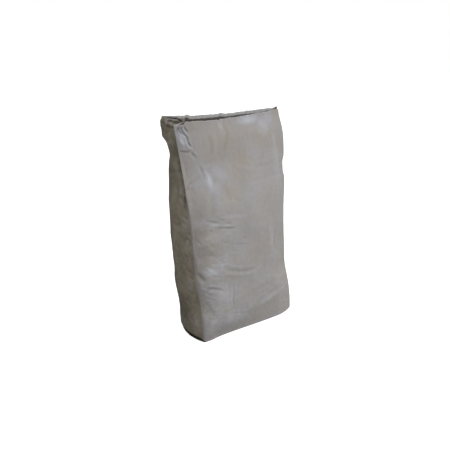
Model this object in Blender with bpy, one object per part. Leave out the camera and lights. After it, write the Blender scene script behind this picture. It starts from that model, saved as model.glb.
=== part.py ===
"""A gusseted open-mouth paper sack filled with milled refractory clay, standing on its block bottom.

The front panel faces -Y, X runs across it and Z is up. The origin is on the floor, in the
middle of the base. Lengths are in metres. Heights in the profiles are shares of SACK_HEIGHT.
"""

import math

import bmesh
import bpy

# Driving dimensions
SACK_HEIGHT = 0.704
BASE_WIDTH = 0.380
BASE_DEPTH = 0.137
PAPER_THICKNESS = 0.0008  # four plies of sack kraft
BASE_EDGE_RADIUS = 0.006  # the round under the filled sack's bottom edge
LEAN = 0.023  # how far the top has slumped towards -X
CLAY_HEIGHT = 0.530
CLAY_HEAP = 0.012  # how far the heap's middle stands above its rim
HEAP_SHOULDER = 0.35  # how far in from the rim the heap's slope reaches, as a share
CLAY_CLEARANCE = 0.0005  # between the clay and the paper
WALL_SLANT_ALLOWANCE = 0.0006  # a leaning wall is thicker when measured level

# How finely the skin is divided
FRONT_STEPS = 12
GUSSET_STEPS = 4  # on each side of a gusset's middle fold
EDGE_ROUND_STEPS = 3
RING_HEIGHTS = (
    0.05, 0.11, 0.17, 0.24, 0.32, 0.40, 0.48, 0.56, 0.62, 0.67, 0.72, 0.77, 0.81, 0.84,
    0.87, 0.90, 0.925, 0.95, 0.975, 1.0,
)

# Profiles from the base (0) to the lip (1), as (height share, metres)
FRONT_LEFT_Y = (
    (0, -0.070), (0.11, -0.071), (0.17, -0.065), (0.28, -0.055), (0.42, -0.051),
    (0.61, -0.048), (0.72, -0.040), (0.82, -0.029), (0.92, -0.014), (1, -0.004),
)
LEFT_DEPTH = (
    (0, BASE_DEPTH), (0.15, BASE_DEPTH), (0.40, 0.129), (0.56, 0.118), (0.64, 0.112),
    (0.71, 0.096), (0.79, 0.078), (0.86, 0.057), (0.90, 0.055), (0.94, 0.067), (1, 0.060),
)
RIGHT_X = (
    (0, 0.190), (0.10, 0.181), (0.18, 0.174), (0.30, 0.169), (0.44, 0.173),
    (0.60, 0.177), (0.72, 0.180), (0.80, 0.186), (0.87, 0.188), (0.91, 0.186),
    (0.95, 0.179), (1, 0.173),
)
FRONT_RIGHT_Y = (
    (0, -0.074), (0.14, -0.071), (0.28, -0.058), (0.42, -0.053), (0.64, -0.048),
    (0.82, -0.038), (0.92, -0.034), (1, -0.028),
)
RIGHT_DEPTH = (
    (0, BASE_DEPTH), (0.14, BASE_DEPTH), (0.42, 0.124), (0.64, 0.104), (0.78, 0.075),
    (0.89, 0.040), (1, 0.014),
)

# How far the back right crease stands further right than the front one
BACK_RIGHT_STEP = ((0, 0), (0.88, 0), (1, 0.007))

# How far a gusset's middle fold is tucked in (+) or bulges out (-)
LEFT_TUCK = (
    (0, -0.014), (0.1, -0.012), (0.2, -0.009), (0.45, -0.006), (0.58, -0.001), (0.67, 0.009),
    (0.76, 0.022), (0.86, 0.038), (1, 0.048),
)
RIGHT_TUCK = (
    (0, -0.002), (0.2, -0.007), (0.45, -0.006), (0.60, 0.002), (0.70, 0.014),
    (0.80, 0.030), (0.90, 0.044), (1, 0.052),
)
# How far each half of a gusset bows out where the clay fills it
GUSSET_BOW = ((0, 0.003), (0.2, 0.004), (0.5, 0.003), (0.7, 0), (1, 0))
# Where the left fold lies between the front crease (0) and the back crease (1)
LEFT_FOLD_PLACE = ((0, 0.50), (0.55, 0.48), (0.68, 0.30), (0.85, 0.26), (1, 0.16))

# Bulge of the front and back panels off the chord between their creases, at shares of the
# panel's width. The first columns make the front lip turn sharply back to its left crease.
FRONT_BULGE = {
    0.08: ((0, 0.001), (0.3, 0.006), (0.6, 0.008), (0.82, 0.014), (0.92, 0.028), (1, 0.040)),
    0.30: ((0, 0.001), (0.3, 0.013), (0.6, 0.015), (0.82, 0.020), (0.92, 0.032), (1, 0.040)),
    0.55: ((0, 0.013), (0.3, 0.018), (0.6, 0.017), (0.82, 0.017), (0.92, 0.022), (1, 0.027)),
    0.82: ((0, 0.019), (0.12, 0.016), (0.3, 0.012), (0.6, 0.010), (0.82, 0.009), (0.92, 0.010), (1, 0.011)),
}
BACK_BULGE = {
    0.20: ((0, 0.003), (0.3, 0.010), (0.6, 0.008), (0.85, -0.002), (1, -0.008)),
    0.50: ((0, 0.004), (0.3, 0.013), (0.6, 0.010), (0.85, -0.006), (1, -0.019)),
    0.75: ((0, 0.004), (0.3, 0.012), (0.6, 0.009), (0.85, -0.006), (1, -0.027)),
    0.90: ((0, 0.002), (0.3, 0.006), (0.6, 0.005), (0.85, -0.003), (1, -0.022)),
}
# How far the lip stands above SACK_HEIGHT, round the mouth. A corner of the mouth is a whole
# number: 0 front left, 1 front right, 2 back right, 3 back left, 4 front left again.
LIP_RISE = (
    (0, -0.001), (0.1, 0.002), (0.3, -0.002), (0.6, -0.001), (1, 0.003), (1.5, -0.004), (2, 0.007),
    (2.3, 0.004), (2.5, 0.005), (2.75, 0.009), (3, 0.012), (3.5, -0.004), (4, -0.001),
)
LIP_ZONE = 0.10  # the share of the height over which that rise fades out

MATERIALS = {
    "paper": ((0.33, 0.31, 0.28), 0.85),
    "clay": ((0.52, 0.47, 0.40), 0.95),
}


def smooth_value(knots, at):
    """A curve through the knots without overshoot, read at one place."""
    if at <= knots[0][0]:
        return knots[0][1]
    if at >= knots[-1][0]:
        return knots[-1][1]
    slopes = [(b[1] - a[1]) / (b[0] - a[0]) for a, b in zip(knots, knots[1:])]

    def tangent(i):
        if i == 0 or i == len(slopes) or slopes[i - 1] * slopes[i] <= 0:
            return 0.0
        return 2 * slopes[i - 1] * slopes[i] / (slopes[i - 1] + slopes[i])

    i = max(k for k in range(len(slopes)) if knots[k][0] <= at)
    span = knots[i + 1][0] - knots[i][0]
    u = (at - knots[i][0]) / span
    start, end = knots[i][1], knots[i + 1][1]
    return (
        start * (1 + 2 * u) * (1 - u) ** 2
        + end * u * u * (3 - 2 * u)
        + span * u * (1 - u) * (tangent(i) * (1 - u) - tangent(i + 1) * u)
    )


def creases(height):
    """The four creases and the two gusset folds at a height share, as (x, y) each."""
    left_x = -BASE_WIDTH / 2 - LEAN * height
    right_x = smooth_value(RIGHT_X, height)
    front_left = (left_x, smooth_value(FRONT_LEFT_Y, height))
    back_left = (left_x, front_left[1] + smooth_value(LEFT_DEPTH, height))
    front_right = (right_x, smooth_value(FRONT_RIGHT_Y, height))
    back_right = (
        right_x + smooth_value(BACK_RIGHT_STEP, height),
        front_right[1] + smooth_value(RIGHT_DEPTH, height),
    )
    place = smooth_value(LEFT_FOLD_PLACE, height)
    left_fold = (
        left_x + smooth_value(LEFT_TUCK, height),
        front_left[1] * (1 - place) + back_left[1] * place,
    )
    right_fold = (
        right_x - smooth_value(RIGHT_TUCK, height),
        (front_right[1] + back_right[1]) / 2,
    )
    return front_left, front_right, right_fold, back_right, back_left, left_fold


def bowed_line(start, end, knots, steps):
    """Points from start up to but not including end, set off to the right by the knots' curve."""
    length = math.dist(start, end)
    outward = ((end[1] - start[1]) / length, (start[0] - end[0]) / length)
    points = []
    for step in range(steps):
        share = step / steps
        off = smooth_value(knots, share)
        points.append(
            (
                start[0] + (end[0] - start[0]) * share + outward[0] * off,
                start[1] + (end[1] - start[1]) * share + outward[1] * off,
            )
        )
    return points


def panel(start, end, bulge, height):
    """Points across the front or back panel."""
    columns = sorted((place, smooth_value(bulge[place], height)) for place in bulge)
    return bowed_line(start, end, ((0, 0.0), *columns, (1, 0.0)), FRONT_STEPS)


def gusset_half(start, end, height):
    """Points along half a gusset."""
    bow = smooth_value(GUSSET_BOW, height)
    return bowed_line(start, end, ((0, 0.0), (0.5, bow), (1, 0.0)), GUSSET_STEPS)


def section(height):
    """The sack's outline at a height share, anticlockwise from the front left crease."""
    front_left, front_right, right_fold, back_right, back_left, left_fold = creases(height)
    return (
        panel(front_left, front_right, FRONT_BULGE, height)
        + gusset_half(front_right, right_fold, height)
        + gusset_half(right_fold, back_right, height)
        + panel(back_right, back_left, BACK_BULGE, height)
        + gusset_half(back_left, left_fold, height)
        + gusset_half(left_fold, front_left, height)
    )


def inset(outline, distance):
    """The outline moved inwards by a distance, square to its sides."""
    moved = []
    count = len(outline)
    for i, point in enumerate(outline):
        before, after = outline[i - 1], outline[(i + 1) % count]
        inward = []
        for a, b in ((before, point), (point, after)):
            side = math.dist(a, b)
            inward.append(((a[1] - b[1]) / side, (b[0] - a[0]) / side))
        middle = (inward[0][0] + inward[1][0], inward[0][1] + inward[1][1])
        scale = 2 * distance / max(middle[0] ** 2 + middle[1] ** 2, 0.3)
        moved.append((point[0] + middle[0] * scale, point[1] + middle[1] * scale))
    return moved


def lip_rise(place):
    """How far the lip stands off SACK_HEIGHT at a place round the mouth, from 0 to 1."""
    sides = (FRONT_STEPS, 2 * GUSSET_STEPS, FRONT_STEPS, 2 * GUSSET_STEPS)
    step = place * sum(sides)
    for side, length in enumerate(sides):
        if step <= length:
            return smooth_value(LIP_RISE, side + step / length)
        step -= length
    return LIP_RISE[-1][1]


def ring(height, distance=0.0):
    """One ring of the skin as (x, y, z) points, raised towards the lip's own height."""
    outline = section(height)
    if distance:
        outline = inset(outline, distance)
    fade = max(0.0, (height - 1 + LIP_ZONE) / LIP_ZONE)
    return [
        (x, y, SACK_HEIGHT * height + fade * fade * lip_rise(i / len(outline)))
        for i, (x, y) in enumerate(outline)
    ]


def skin(rings):
    """A mesh of rings joined by faces, closed at the bottom by a flat face."""
    mesh = bmesh.new()
    loops = [[mesh.verts.new(point) for point in points] for points in rings]
    count = len(loops[0])
    for low, high in zip(loops, loops[1:]):
        for i in range(count):
            j = (i + 1) % count
            mesh.faces.new((low[i], low[j], high[j], high[i]))
    mesh.faces.new(reversed(loops[0]))
    return mesh, loops


def place_object(name, mesh, material):
    """Links the mesh as a named object with its material."""
    data = bpy.data.meshes.new(name)
    mesh.to_mesh(data)
    mesh.free()
    data.materials.append(material)
    thing = bpy.data.objects.new(name, data)
    bpy.context.scene.collection.objects.link(thing)
    return thing


def make_material(name):
    """A plain dielectric surface with the colour and roughness of its entry."""
    colour, roughness = MATERIALS[name]
    material = bpy.data.materials.new(name)
    material.use_nodes = True
    shader = material.node_tree.nodes["Principled BSDF"]
    shader.inputs["Base Color"].default_value = (*colour, 1.0)
    shader.inputs["Roughness"].default_value = roughness
    return material


def build_sack():
    """The paper sack: one skin from the flat base up to the open lip, given its thickness."""
    rings = []
    for step in range(EDGE_ROUND_STEPS):
        angle = math.pi / 2 * step / EDGE_ROUND_STEPS
        level = BASE_EDGE_RADIUS * (1 - math.cos(angle)) / SACK_HEIGHT
        rings.append(ring(level, BASE_EDGE_RADIUS * (1 - math.sin(angle))))
    rings.append(ring(BASE_EDGE_RADIUS / SACK_HEIGHT))
    rings += [ring(height) for height in RING_HEIGHTS]
    mesh, _ = skin(rings)
    sack = place_object("paper_sack", mesh, make_material("paper"))
    wall = sack.modifiers.new("paper", "SOLIDIFY")
    wall.thickness = PAPER_THICKNESS
    wall.offset = -1
    wall.use_even_offset = True


def build_clay():
    """The clay: a solid that fills the sack to just inside its paper, with a low heap on top."""
    wall = PAPER_THICKNESS + CLAY_CLEARANCE + WALL_SLANT_ALLOWANCE
    top_share = CLAY_HEIGHT / SACK_HEIGHT
    floor = (PAPER_THICKNESS + CLAY_CLEARANCE) / SACK_HEIGHT
    rings = [
        ring(floor, wall + BASE_EDGE_RADIUS),
        ring(1.3 * BASE_EDGE_RADIUS / SACK_HEIGHT, wall),
    ]
    rings += [ring(height, wall) for height in RING_HEIGHTS if height < top_share]
    rings.append(ring(top_share, wall))
    rim = rings[-1]
    middle = [sum(point[axis] for point in rim) / len(rim) for axis in range(2)]
    rings.append(
        [
            (
                x + (middle[0] - x) * HEAP_SHOULDER,
                y + (middle[1] - y) * HEAP_SHOULDER,
                z + CLAY_HEAP,
            )
            for x, y, z in rim
        ]
    )
    mesh, loops = skin(rings)
    mesh.faces.new(loops[-1])
    place_object("clay_fill", mesh, make_material("clay"))


def main():
    for thing in list(bpy.data.objects):
        bpy.data.objects.remove(thing)
    build_sack()
    build_clay()


main()
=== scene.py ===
"""An open sack of refractory clay: the paper sack and its clay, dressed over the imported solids.

Lengths are in metres. A height is a share, from 0 at the base to 1 at the lip. A place round the
sack runs from 0 at the front left crease over 1 front right, 2 back right and 3 back left to 4, back
at the start. Across is the way over one side's paper from its first crease.
"""

import logging
import math
from collections.abc import Callable
from dataclasses import asdict, dataclass, field, fields
from enum import Enum

import bpy
import numpy as np
from mathutils import Matrix, Vector, geometry, noise

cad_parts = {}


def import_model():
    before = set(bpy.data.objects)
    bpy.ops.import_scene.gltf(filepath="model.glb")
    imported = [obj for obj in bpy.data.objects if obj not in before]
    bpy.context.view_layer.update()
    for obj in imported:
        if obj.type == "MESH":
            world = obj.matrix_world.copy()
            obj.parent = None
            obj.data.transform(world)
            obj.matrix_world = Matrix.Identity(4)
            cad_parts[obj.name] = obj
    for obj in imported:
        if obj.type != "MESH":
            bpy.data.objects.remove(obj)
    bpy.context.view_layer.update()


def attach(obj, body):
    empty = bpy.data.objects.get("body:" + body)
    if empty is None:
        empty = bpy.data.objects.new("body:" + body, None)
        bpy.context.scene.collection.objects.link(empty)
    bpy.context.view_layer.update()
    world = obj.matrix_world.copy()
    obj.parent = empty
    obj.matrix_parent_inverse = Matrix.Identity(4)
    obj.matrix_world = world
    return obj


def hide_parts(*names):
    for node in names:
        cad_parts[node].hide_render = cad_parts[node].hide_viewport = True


LOG = logging.getLogger("clay_sack")
Colour = tuple[float, float, float, float]
Grid = np.ndarray
Material, Mesh, Piece = bpy.types.Material, bpy.types.Mesh, bpy.types.Object
Node, Outputs, Socket = bpy.types.Node, bpy.types.NodeOutputs, bpy.types.NodeSocket
Value = Socket | float | tuple[float, ...]


def paint(*screen: int) -> Colour:
    """Turns a colour as a screen shows it, 0 to 255, into linear light."""
    light = [c / 12.92 if c <= 0.04045 else ((c + 0.055) / 1.055) ** 2.4 for c in np.array(screen) / 255]
    return (*map(float, light), 1.0)


def ease(ramp: Grid) -> Grid:
    """Cuts a ramp off at 0 and 1 and softens both ends."""
    ramp = np.clip(ramp, 0, 1)
    return ramp * ramp * (3 - 2 * ramp)


def smooth_rows(knots: Grid, values: Grid, at: Grid, free_ends: bool = False) -> Grid:
    """Draws one smooth curve for each row of values, without overshoot.

    Args:
        knots: The K places of the knots, rising.
        values: The values at the knots, rows by K.
        at: The C places to read.
        free_ends: Whether the curves leave their ends at a slope, and not level.

    Returns:
        The curves' values, rows by C.
    """
    span = np.diff(knots)
    slope = np.diff(values, axis=1) / span
    before, after = slope[:, :-1], slope[:, 1:]
    tangent = np.zeros_like(values)
    tangent[:, 1:-1] = 2 * before * after / np.where(before * after > 0, before + after, np.inf)
    if free_ends:
        tangent[:, 0] = 1.5 * slope[:, 0] - 0.5 * tangent[:, 1]
        tangent[:, -1] = 1.5 * slope[:, -1] - 0.5 * tangent[:, -2]
    i = np.clip(np.searchsorted(knots, at, side="right") - 1, 0, len(knots) - 2)
    u = np.clip((at - knots[i]) / span[i], 0, 1)
    level = values[:, i] * (1 + 2 * u) * (1 - u) ** 2 + values[:, i + 1] * u * u * (3 - 2 * u)
    return level + span[i] * u * (1 - u) * (tangent[:, i] * (1 - u) - tangent[:, i + 1] * u)


@dataclass(frozen=True)
class Profile:
    """A smooth curve through (place, value) knots that never overshoots them."""

    knots: tuple[tuple[float, float], ...]

    def at(self, places: Grid) -> Grid:
        """Reads the curve at places of any shape."""
        x, y = np.array(self.knots, float).T
        return smooth_rows(x, y[None], np.ravel(places))[0].reshape(np.shape(places))


def curve(*values: float, per: float = 1) -> Profile:
    """The profile through place, value, place, value and so on, each value divided by per."""
    return Profile(tuple((x, y / per) for x, y in zip(values[::2], values[1::2])))


def mm(*values: float) -> Profile:
    """A profile with its values in millimetres."""
    return curve(*values, per=1000)


class Side(Enum):
    """The sack's four sides, in the order in which a column runs round it from above."""

    FRONT = 0
    RIGHT = 1
    BACK = 2
    LEFT = 3


@dataclass(frozen=True)
class SackForm:
    """The settled shape of the sack, the same as in its solid but for small moves of its creases."""

    height: float = 0.704
    base_width: float = 0.380
    base_depth: float = 0.137
    base_edge_radius: float = 0.006
    lean: float = 0.023
    lip_zone: float = 0.10
    front_left_y: Profile = mm(
        0, -70, 0.11, -71, 0.17, -65, 0.28, -55, 0.42, -51, 0.61, -48, 0.72, -40, 0.82, -32, 0.92, -25,
        1, -21
    )
    front_left_out: Profile = mm(0, 2, 0.2, 0, 0.55, 0, 0.66, 1.5, 0.82, 4.5, 0.92, 7.5, 1, 10.3)
    back_left_out: Profile = mm(
        0, -3, 0.04, 4.5, 0.08, 3.5, 0.12, -0.5, 0.16, -3.5, 0.2, -5, 0.24, -3, 0.28, 0, 0.33, -1, 0.5, 0,
        0.83, 0, 0.86, -2.5, 0.893, 0, 0.918, 2, 0.937, 6.5, 0.955, 6, 0.972, 8, 0.986, 7.5, 0.994, 3,
        1, 0
    )
    back_left_y: Profile = mm(
        0, 68, 0.11, 68, 0.17, 74.5, 0.28, 80, 0.4, 80, 0.56, 72, 0.64, 68, 0.71, 58, 0.79, 48, 0.86, 37,
        0.9, 40.5, 0.94, 56.7, 1, 57
    )
    right_x: Profile = mm(
        0, 190, 0.1, 185, 0.18, 180, 0.3, 174, 0.44, 175.5, 0.6, 183, 0.69, 186, 0.715, 181.5, 0.74, 182,
        0.765, 183.5, 0.79, 190, 0.83, 192, 0.87, 192, 0.91, 189, 0.95, 183, 1, 177
    )
    front_right_y: Profile = mm(
        0, -74, 0.14, -71, 0.28, -58, 0.42, -53, 0.64, -48, 0.82, -38, 0.92, -34, 1, -28
    )
    right_depth: Profile = mm(0, 137, 0.14, 137, 0.42, 124, 0.64, 104, 0.78, 75, 0.89, 40, 1, 14)
    back_right_step: Profile = mm(0, 0, 0.88, 0, 1, 7)
    left_tuck: Profile = mm(
        0, -14, 0.1, -12, 0.2, -9, 0.45, -6, 0.58, -1, 0.67, 9, 0.76, 22, 0.86, 38, 1, 48
    )
    right_tuck: Profile = mm(0, -2, 0.2, -7, 0.45, -6, 0.6, 2, 0.7, 14, 0.8, 30, 0.9, 44, 1, 52)
    gusset_bow: Profile = mm(0, 3, 0.2, 4, 0.5, 3, 0.7, 0, 1, 0)
    left_fold_place: Profile = curve(0, 0.5, 0.55, 0.48, 0.68, 0.32, 0.85, 0.32, 1, 0.31)
    front_bulge: tuple[tuple[float, Profile], ...] = (
        (0.08, mm(0, 4, 0.1, 10, 0.3, 13, 0.45, 12, 0.6, 7, 0.82, 8, 0.92, 12, 1, 14)),
        (0.17, mm(0, 1.5, 0.1, 14, 0.3, 19.5, 0.45, 18, 0.6, 13, 0.82, 14, 0.92, 19, 1, 21)),
        (0.3, mm(0, 4, 0.1, 15, 0.3, 22, 0.6, 19, 0.82, 18, 0.92, 22, 1, 24)),
        (0.55, mm(0, 13, 0.3, 21, 0.6, 20, 0.82, 18, 0.92, 19, 1, 20)),
        (0.82, mm(0, 19, 0.12, 16, 0.3, 12, 0.6, 10, 0.82, 9, 0.92, 10, 1, 10)),
    )
    back_bulge: tuple[tuple[float, Profile], ...] = (
        (0.2, mm(0, 3, 0.3, 10, 0.6, 8, 0.85, -2, 1, -8)),
        (0.5, mm(0, 4, 0.3, 13, 0.6, 10, 0.85, -6, 1, -19)),
        (0.75, mm(0, 4, 0.3, 12, 0.6, 9, 0.85, -6, 1, -27)),
        (0.9, mm(0, 2, 0.3, 6, 0.6, 5, 0.85, -3, 1, -22)),
    )
    lip_rise: Profile = mm(
        0, -1, 0.1, 1, 0.3, -2, 0.6, -1, 1, 3, 1.5, -4, 2, 7, 2.15, 7.5, 2.3, 6.6, 2.5, 7, 2.75, 9.8,
        3, 14.2, 3.12, 11.5, 3.3, 8, 3.5, 4, 4, -1
    )

    def creases(self, heights: Grid) -> dict[str, Grid]:
        """Places the four creases and the two gusset folds.

        Args:
            heights: The R heights.

        Returns:
            For each crease its (x, y) at every height, R by 2.
        """
        profiles = {f.name: getattr(self, f.name) for f in fields(self) if f.type is Profile}
        at = {name: profile.at(heights) for name, profile in profiles.items()}
        left, right = -self.base_width / 2 - self.lean * heights, at["right_x"]
        front, back, fold = at["front_left_y"], at["back_left_y"], at["left_fold_place"]
        near, far = at["front_right_y"], at["front_right_y"] + at["right_depth"]
        places = {
            "front_left": (left - at["front_left_out"], front),
            "front_right": (right, near),
            "right_fold": (right - at["right_tuck"], (near + far) / 2),
            "back_right": (right + at["back_right_step"], far),
            "back_left": (left - at["back_left_out"], back),
            "left_fold": (left + at["left_tuck"], front * (1 - fold) + back * fold),
        }
        return {name: np.stack(place, 1) for name, place in places.items()}

    def outline(self, heights: Grid, panel: Grid, gusset: Grid) -> Grid:
        """Draws the level sections of the sack.

        Args:
            heights: The R heights.
            panel: The shares across the front and the back, from 0 up to but without 1.
            gusset: The same for each half of a gusset.

        Returns:
            The sections' points, R by columns by 2, anticlockwise from the front left crease.
        """
        at = self.creases(heights)
        bow = (np.array([0, 0.5, 1]), self.gusset_bow.at(heights)[:, None] * [0, 1, 0])
        stretches = []
        for start, end, (knots, offsets), shares in (
            ("front_left", "front_right", self._bulge(self.front_bulge, heights), panel),
            ("front_right", "right_fold", bow, gusset),
            ("right_fold", "back_right", bow, gusset),
            ("back_right", "back_left", self._bulge(self.back_bulge, heights), panel),
            ("back_left", "left_fold", bow, gusset),
            ("left_fold", "front_left", bow, gusset),
        ):
            chord = (at[end] - at[start])[:, None]
            out = np.stack([chord[..., 1], -chord[..., 0]], -1) / np.linalg.norm(chord, axis=2)[..., None]
            off = smooth_rows(knots, offsets, shares, free_ends=start == "front_left")
            stretches.append(at[start][:, None] + chord * shares[:, None] + out * off[..., None])
        return np.concatenate(stretches, axis=1)

    @staticmethod
    def _bulge(columns: tuple[tuple[float, Profile], ...], heights: Grid) -> tuple[Grid, Grid]:
        """Gives the knots across a panel and the panel's bulge at them for every height."""
        places, profiles = zip((0, curve(0, 0, 1, 0)), *columns, (1, curve(0, 0, 1, 0)))
        return np.array(places), np.stack([profile.at(heights) for profile in profiles], 1)


@dataclass(frozen=True)
class SkinSteps:
    """How finely the skin is divided, and where its columns and rows crowd together."""

    panel: int = 112
    gusset_half: int = 22
    rows: int = 199
    edge_rows: int = 5
    crowding: float = 0.45
    row_heights: tuple[tuple[float, ...], ...] = ((0, 0.06, 0.82, 1), (0, 0.05, 0.885, 1))

    def crowded(self, count: int) -> Grid:
        """Shares from 0 up to but without 1, closer together at both ends."""
        even = np.arange(count) / count
        return even - self.crowding * np.sin(2 * math.pi * even) / (2 * math.pi)

    def places(self) -> Grid:
        """Where each column stands round the sack, from 0 to 4."""
        panel, half = self.crowded(self.panel), self.crowded(self.gusset_half) / 2
        return np.concatenate([panel, 1 + half, 1.5 + half, 2 + panel, 3 + half, 3.5 + half])


@dataclass
class Skin:
    """A grid of points over the sack's outside, rows from the base up and columns round it."""

    form: SackForm
    steps: SkinSteps
    fold_softness: Profile = mm(0, 3, 0.05, 4.2, 0.12, 6.2, 0.3, 5.2, 0.5, 3.4, 0.6, 2.4, 0.8, 1.2, 1, 0.8)
    soft_place: Profile = curve(0, 1, 0.2, 1, 0.45, 0, 2.8, 0, 3.2, 0, 3.7, 1, 4, 1)
    sharper: float = 0.45
    foot_softness: tuple[tuple[float, ...], ...] = ((0, 0.1, 0.3), (0.0090, 0.0050, 0.0026))
    points: Grid = field(init=False)
    place: Grid = field(init=False)
    height: Grid = field(init=False)

    def __post_init__(self) -> None:
        """Lays the grid over the form."""
        form, steps = self.form, self.steps
        edge = form.base_edge_radius / form.height
        quarter = np.linspace(0, math.pi / 2, steps.edge_rows, endpoint=False)
        even = np.linspace(0, 1, steps.rows - steps.edge_rows)
        high = edge + (1 - edge) * np.interp(even, *steps.row_heights)
        self.height = np.concatenate([edge * (1 - np.cos(quarter)), high])
        self.place = steps.places()
        outline = form.outline(self.height, steps.crowded(steps.panel), steps.crowded(steps.gusset_half))
        reach = self.fold_softness.at(self.height)
        soft = self.soft_place.at(self.place)[None, :, None]
        low = self.height < self.foot_softness[0][-1]
        foot = np.where(low, np.interp(self.height, *self.foot_softness), 0)
        sharp = soften_corners(outline, np.maximum(self.sharper * reach, foot))
        outline = (1 - soft) * sharp + soft * soften_corners(outline, reach)
        inset = np.zeros(len(self.height))
        inset[: len(quarter)] = form.base_edge_radius * (1 - np.sin(quarter))
        along = np.roll(outline, -1, axis=1) - np.roll(outline, 1, axis=1)
        normal = np.stack([along[..., 1], -along[..., 0]], -1)
        normal /= np.maximum(np.linalg.norm(normal, axis=-1, keepdims=True), 1e-9)
        fade = np.clip((self.height - 1 + form.lip_zone) / form.lip_zone, 0, 1) ** 2
        z = form.height * self.height[:, None] + fade[:, None] * form.lip_rise.at(self.place)
        self.points = np.dstack([outline - normal * inset[:, None, None], z])


def soften_corners(outline: Grid, reach: Grid, fine: int = 2048) -> Grid:
    """Rounds the corners of closed sections.

    Args:
        outline: The sections' points, rows by columns by 2.
        reach: How far each row's corners are rounded.
        fine: In how many steps each section is drawn for it.

    Returns:
        The rounded sections, with as many points.
    """
    soft = np.empty_like(outline)
    for row, (points, far) in enumerate(zip(outline, reach)):
        closed = np.vstack([points, points[:1]])
        travelled = np.append(0, np.cumsum(np.linalg.norm(np.diff(closed, axis=0), axis=1)))
        total = travelled[-1]
        even = np.arange(fine) * total / fine
        damping = np.exp(-2 * (math.pi * np.fft.rfftfreq(fine, total / fine) * far) ** 2)
        for axis in range(2):
            drawn = np.interp(even, travelled, closed[:, axis])
            rounded = np.fft.irfft(np.fft.rfft(drawn) * damping, fine)
            ring = (np.append(even, total), np.append(rounded, rounded[0]))
            soft[row, :, axis] = np.interp(travelled[:-1], *ring)
    return soft


@dataclass
class Unrolled:
    """Where a skin's points lie on the paper when the sack is unrolled."""

    skin: Skin
    travelled: Grid = field(init=False)
    crease: Grid = field(init=False)

    def __post_init__(self) -> None:
        """Unrolls the skin; the girth is its fifth crease."""
        points = self.skin.points
        ends = np.cumsum(np.linalg.norm(np.roll(points, -1, axis=1) - points, axis=2), axis=1)
        self.travelled = np.hstack([np.zeros((len(ends), 1)), ends[:, :-1]])
        self.crease = np.column_stack([*(self.travelled[:, c] for c in self.first_columns()), ends[:, -1]])

    def first_columns(self) -> list[int]:
        """The column of each side's first crease."""
        return [int(np.searchsorted(self.skin.place, side.value - 1e-9)) for side in Side]

    @property
    def z(self) -> Grid:
        """How high each point is."""
        return self.skin.points[..., 2]

    @property
    def way(self) -> Grid:
        """How far round the lip each of its points is, from 0 to 1."""
        return self.travelled[-1] / self.crease[-1, 4]

    def across(self, side: Side) -> Grid:
        """Finds how far each point lies past a side's first crease, negative before it.

        Args:
            side: The side.

        Returns:
            The ways, rows by columns.
        """
        apart = self.travelled - self.crease[:, side.value, None]
        girth = self.crease[:, 4:]
        return (apart + girth / 3) % girth - girth / 3

    def nearest(self) -> Grid:
        """How far each point lies from its nearest crease."""
        return np.min([abs(self.across(side)) for side in Side], axis=0)

    def within(self, side: Side, fade: float) -> Grid:
        """How far inside a side each point is, from 0 to 1, fading over its two creases."""
        left = self.crease[:, side.value + 1, None] - self.travelled
        return np.clip(np.minimum(self.across(side), left) / fade + 0.5, 0, 1)


class FoldKind(Enum):
    """What a fold does to the paper."""

    VALLEY = "pressed in along its line, with low shoulders"
    RIDGE = "standing out along its line"
    STEP = "one edge lying over the other"


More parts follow.
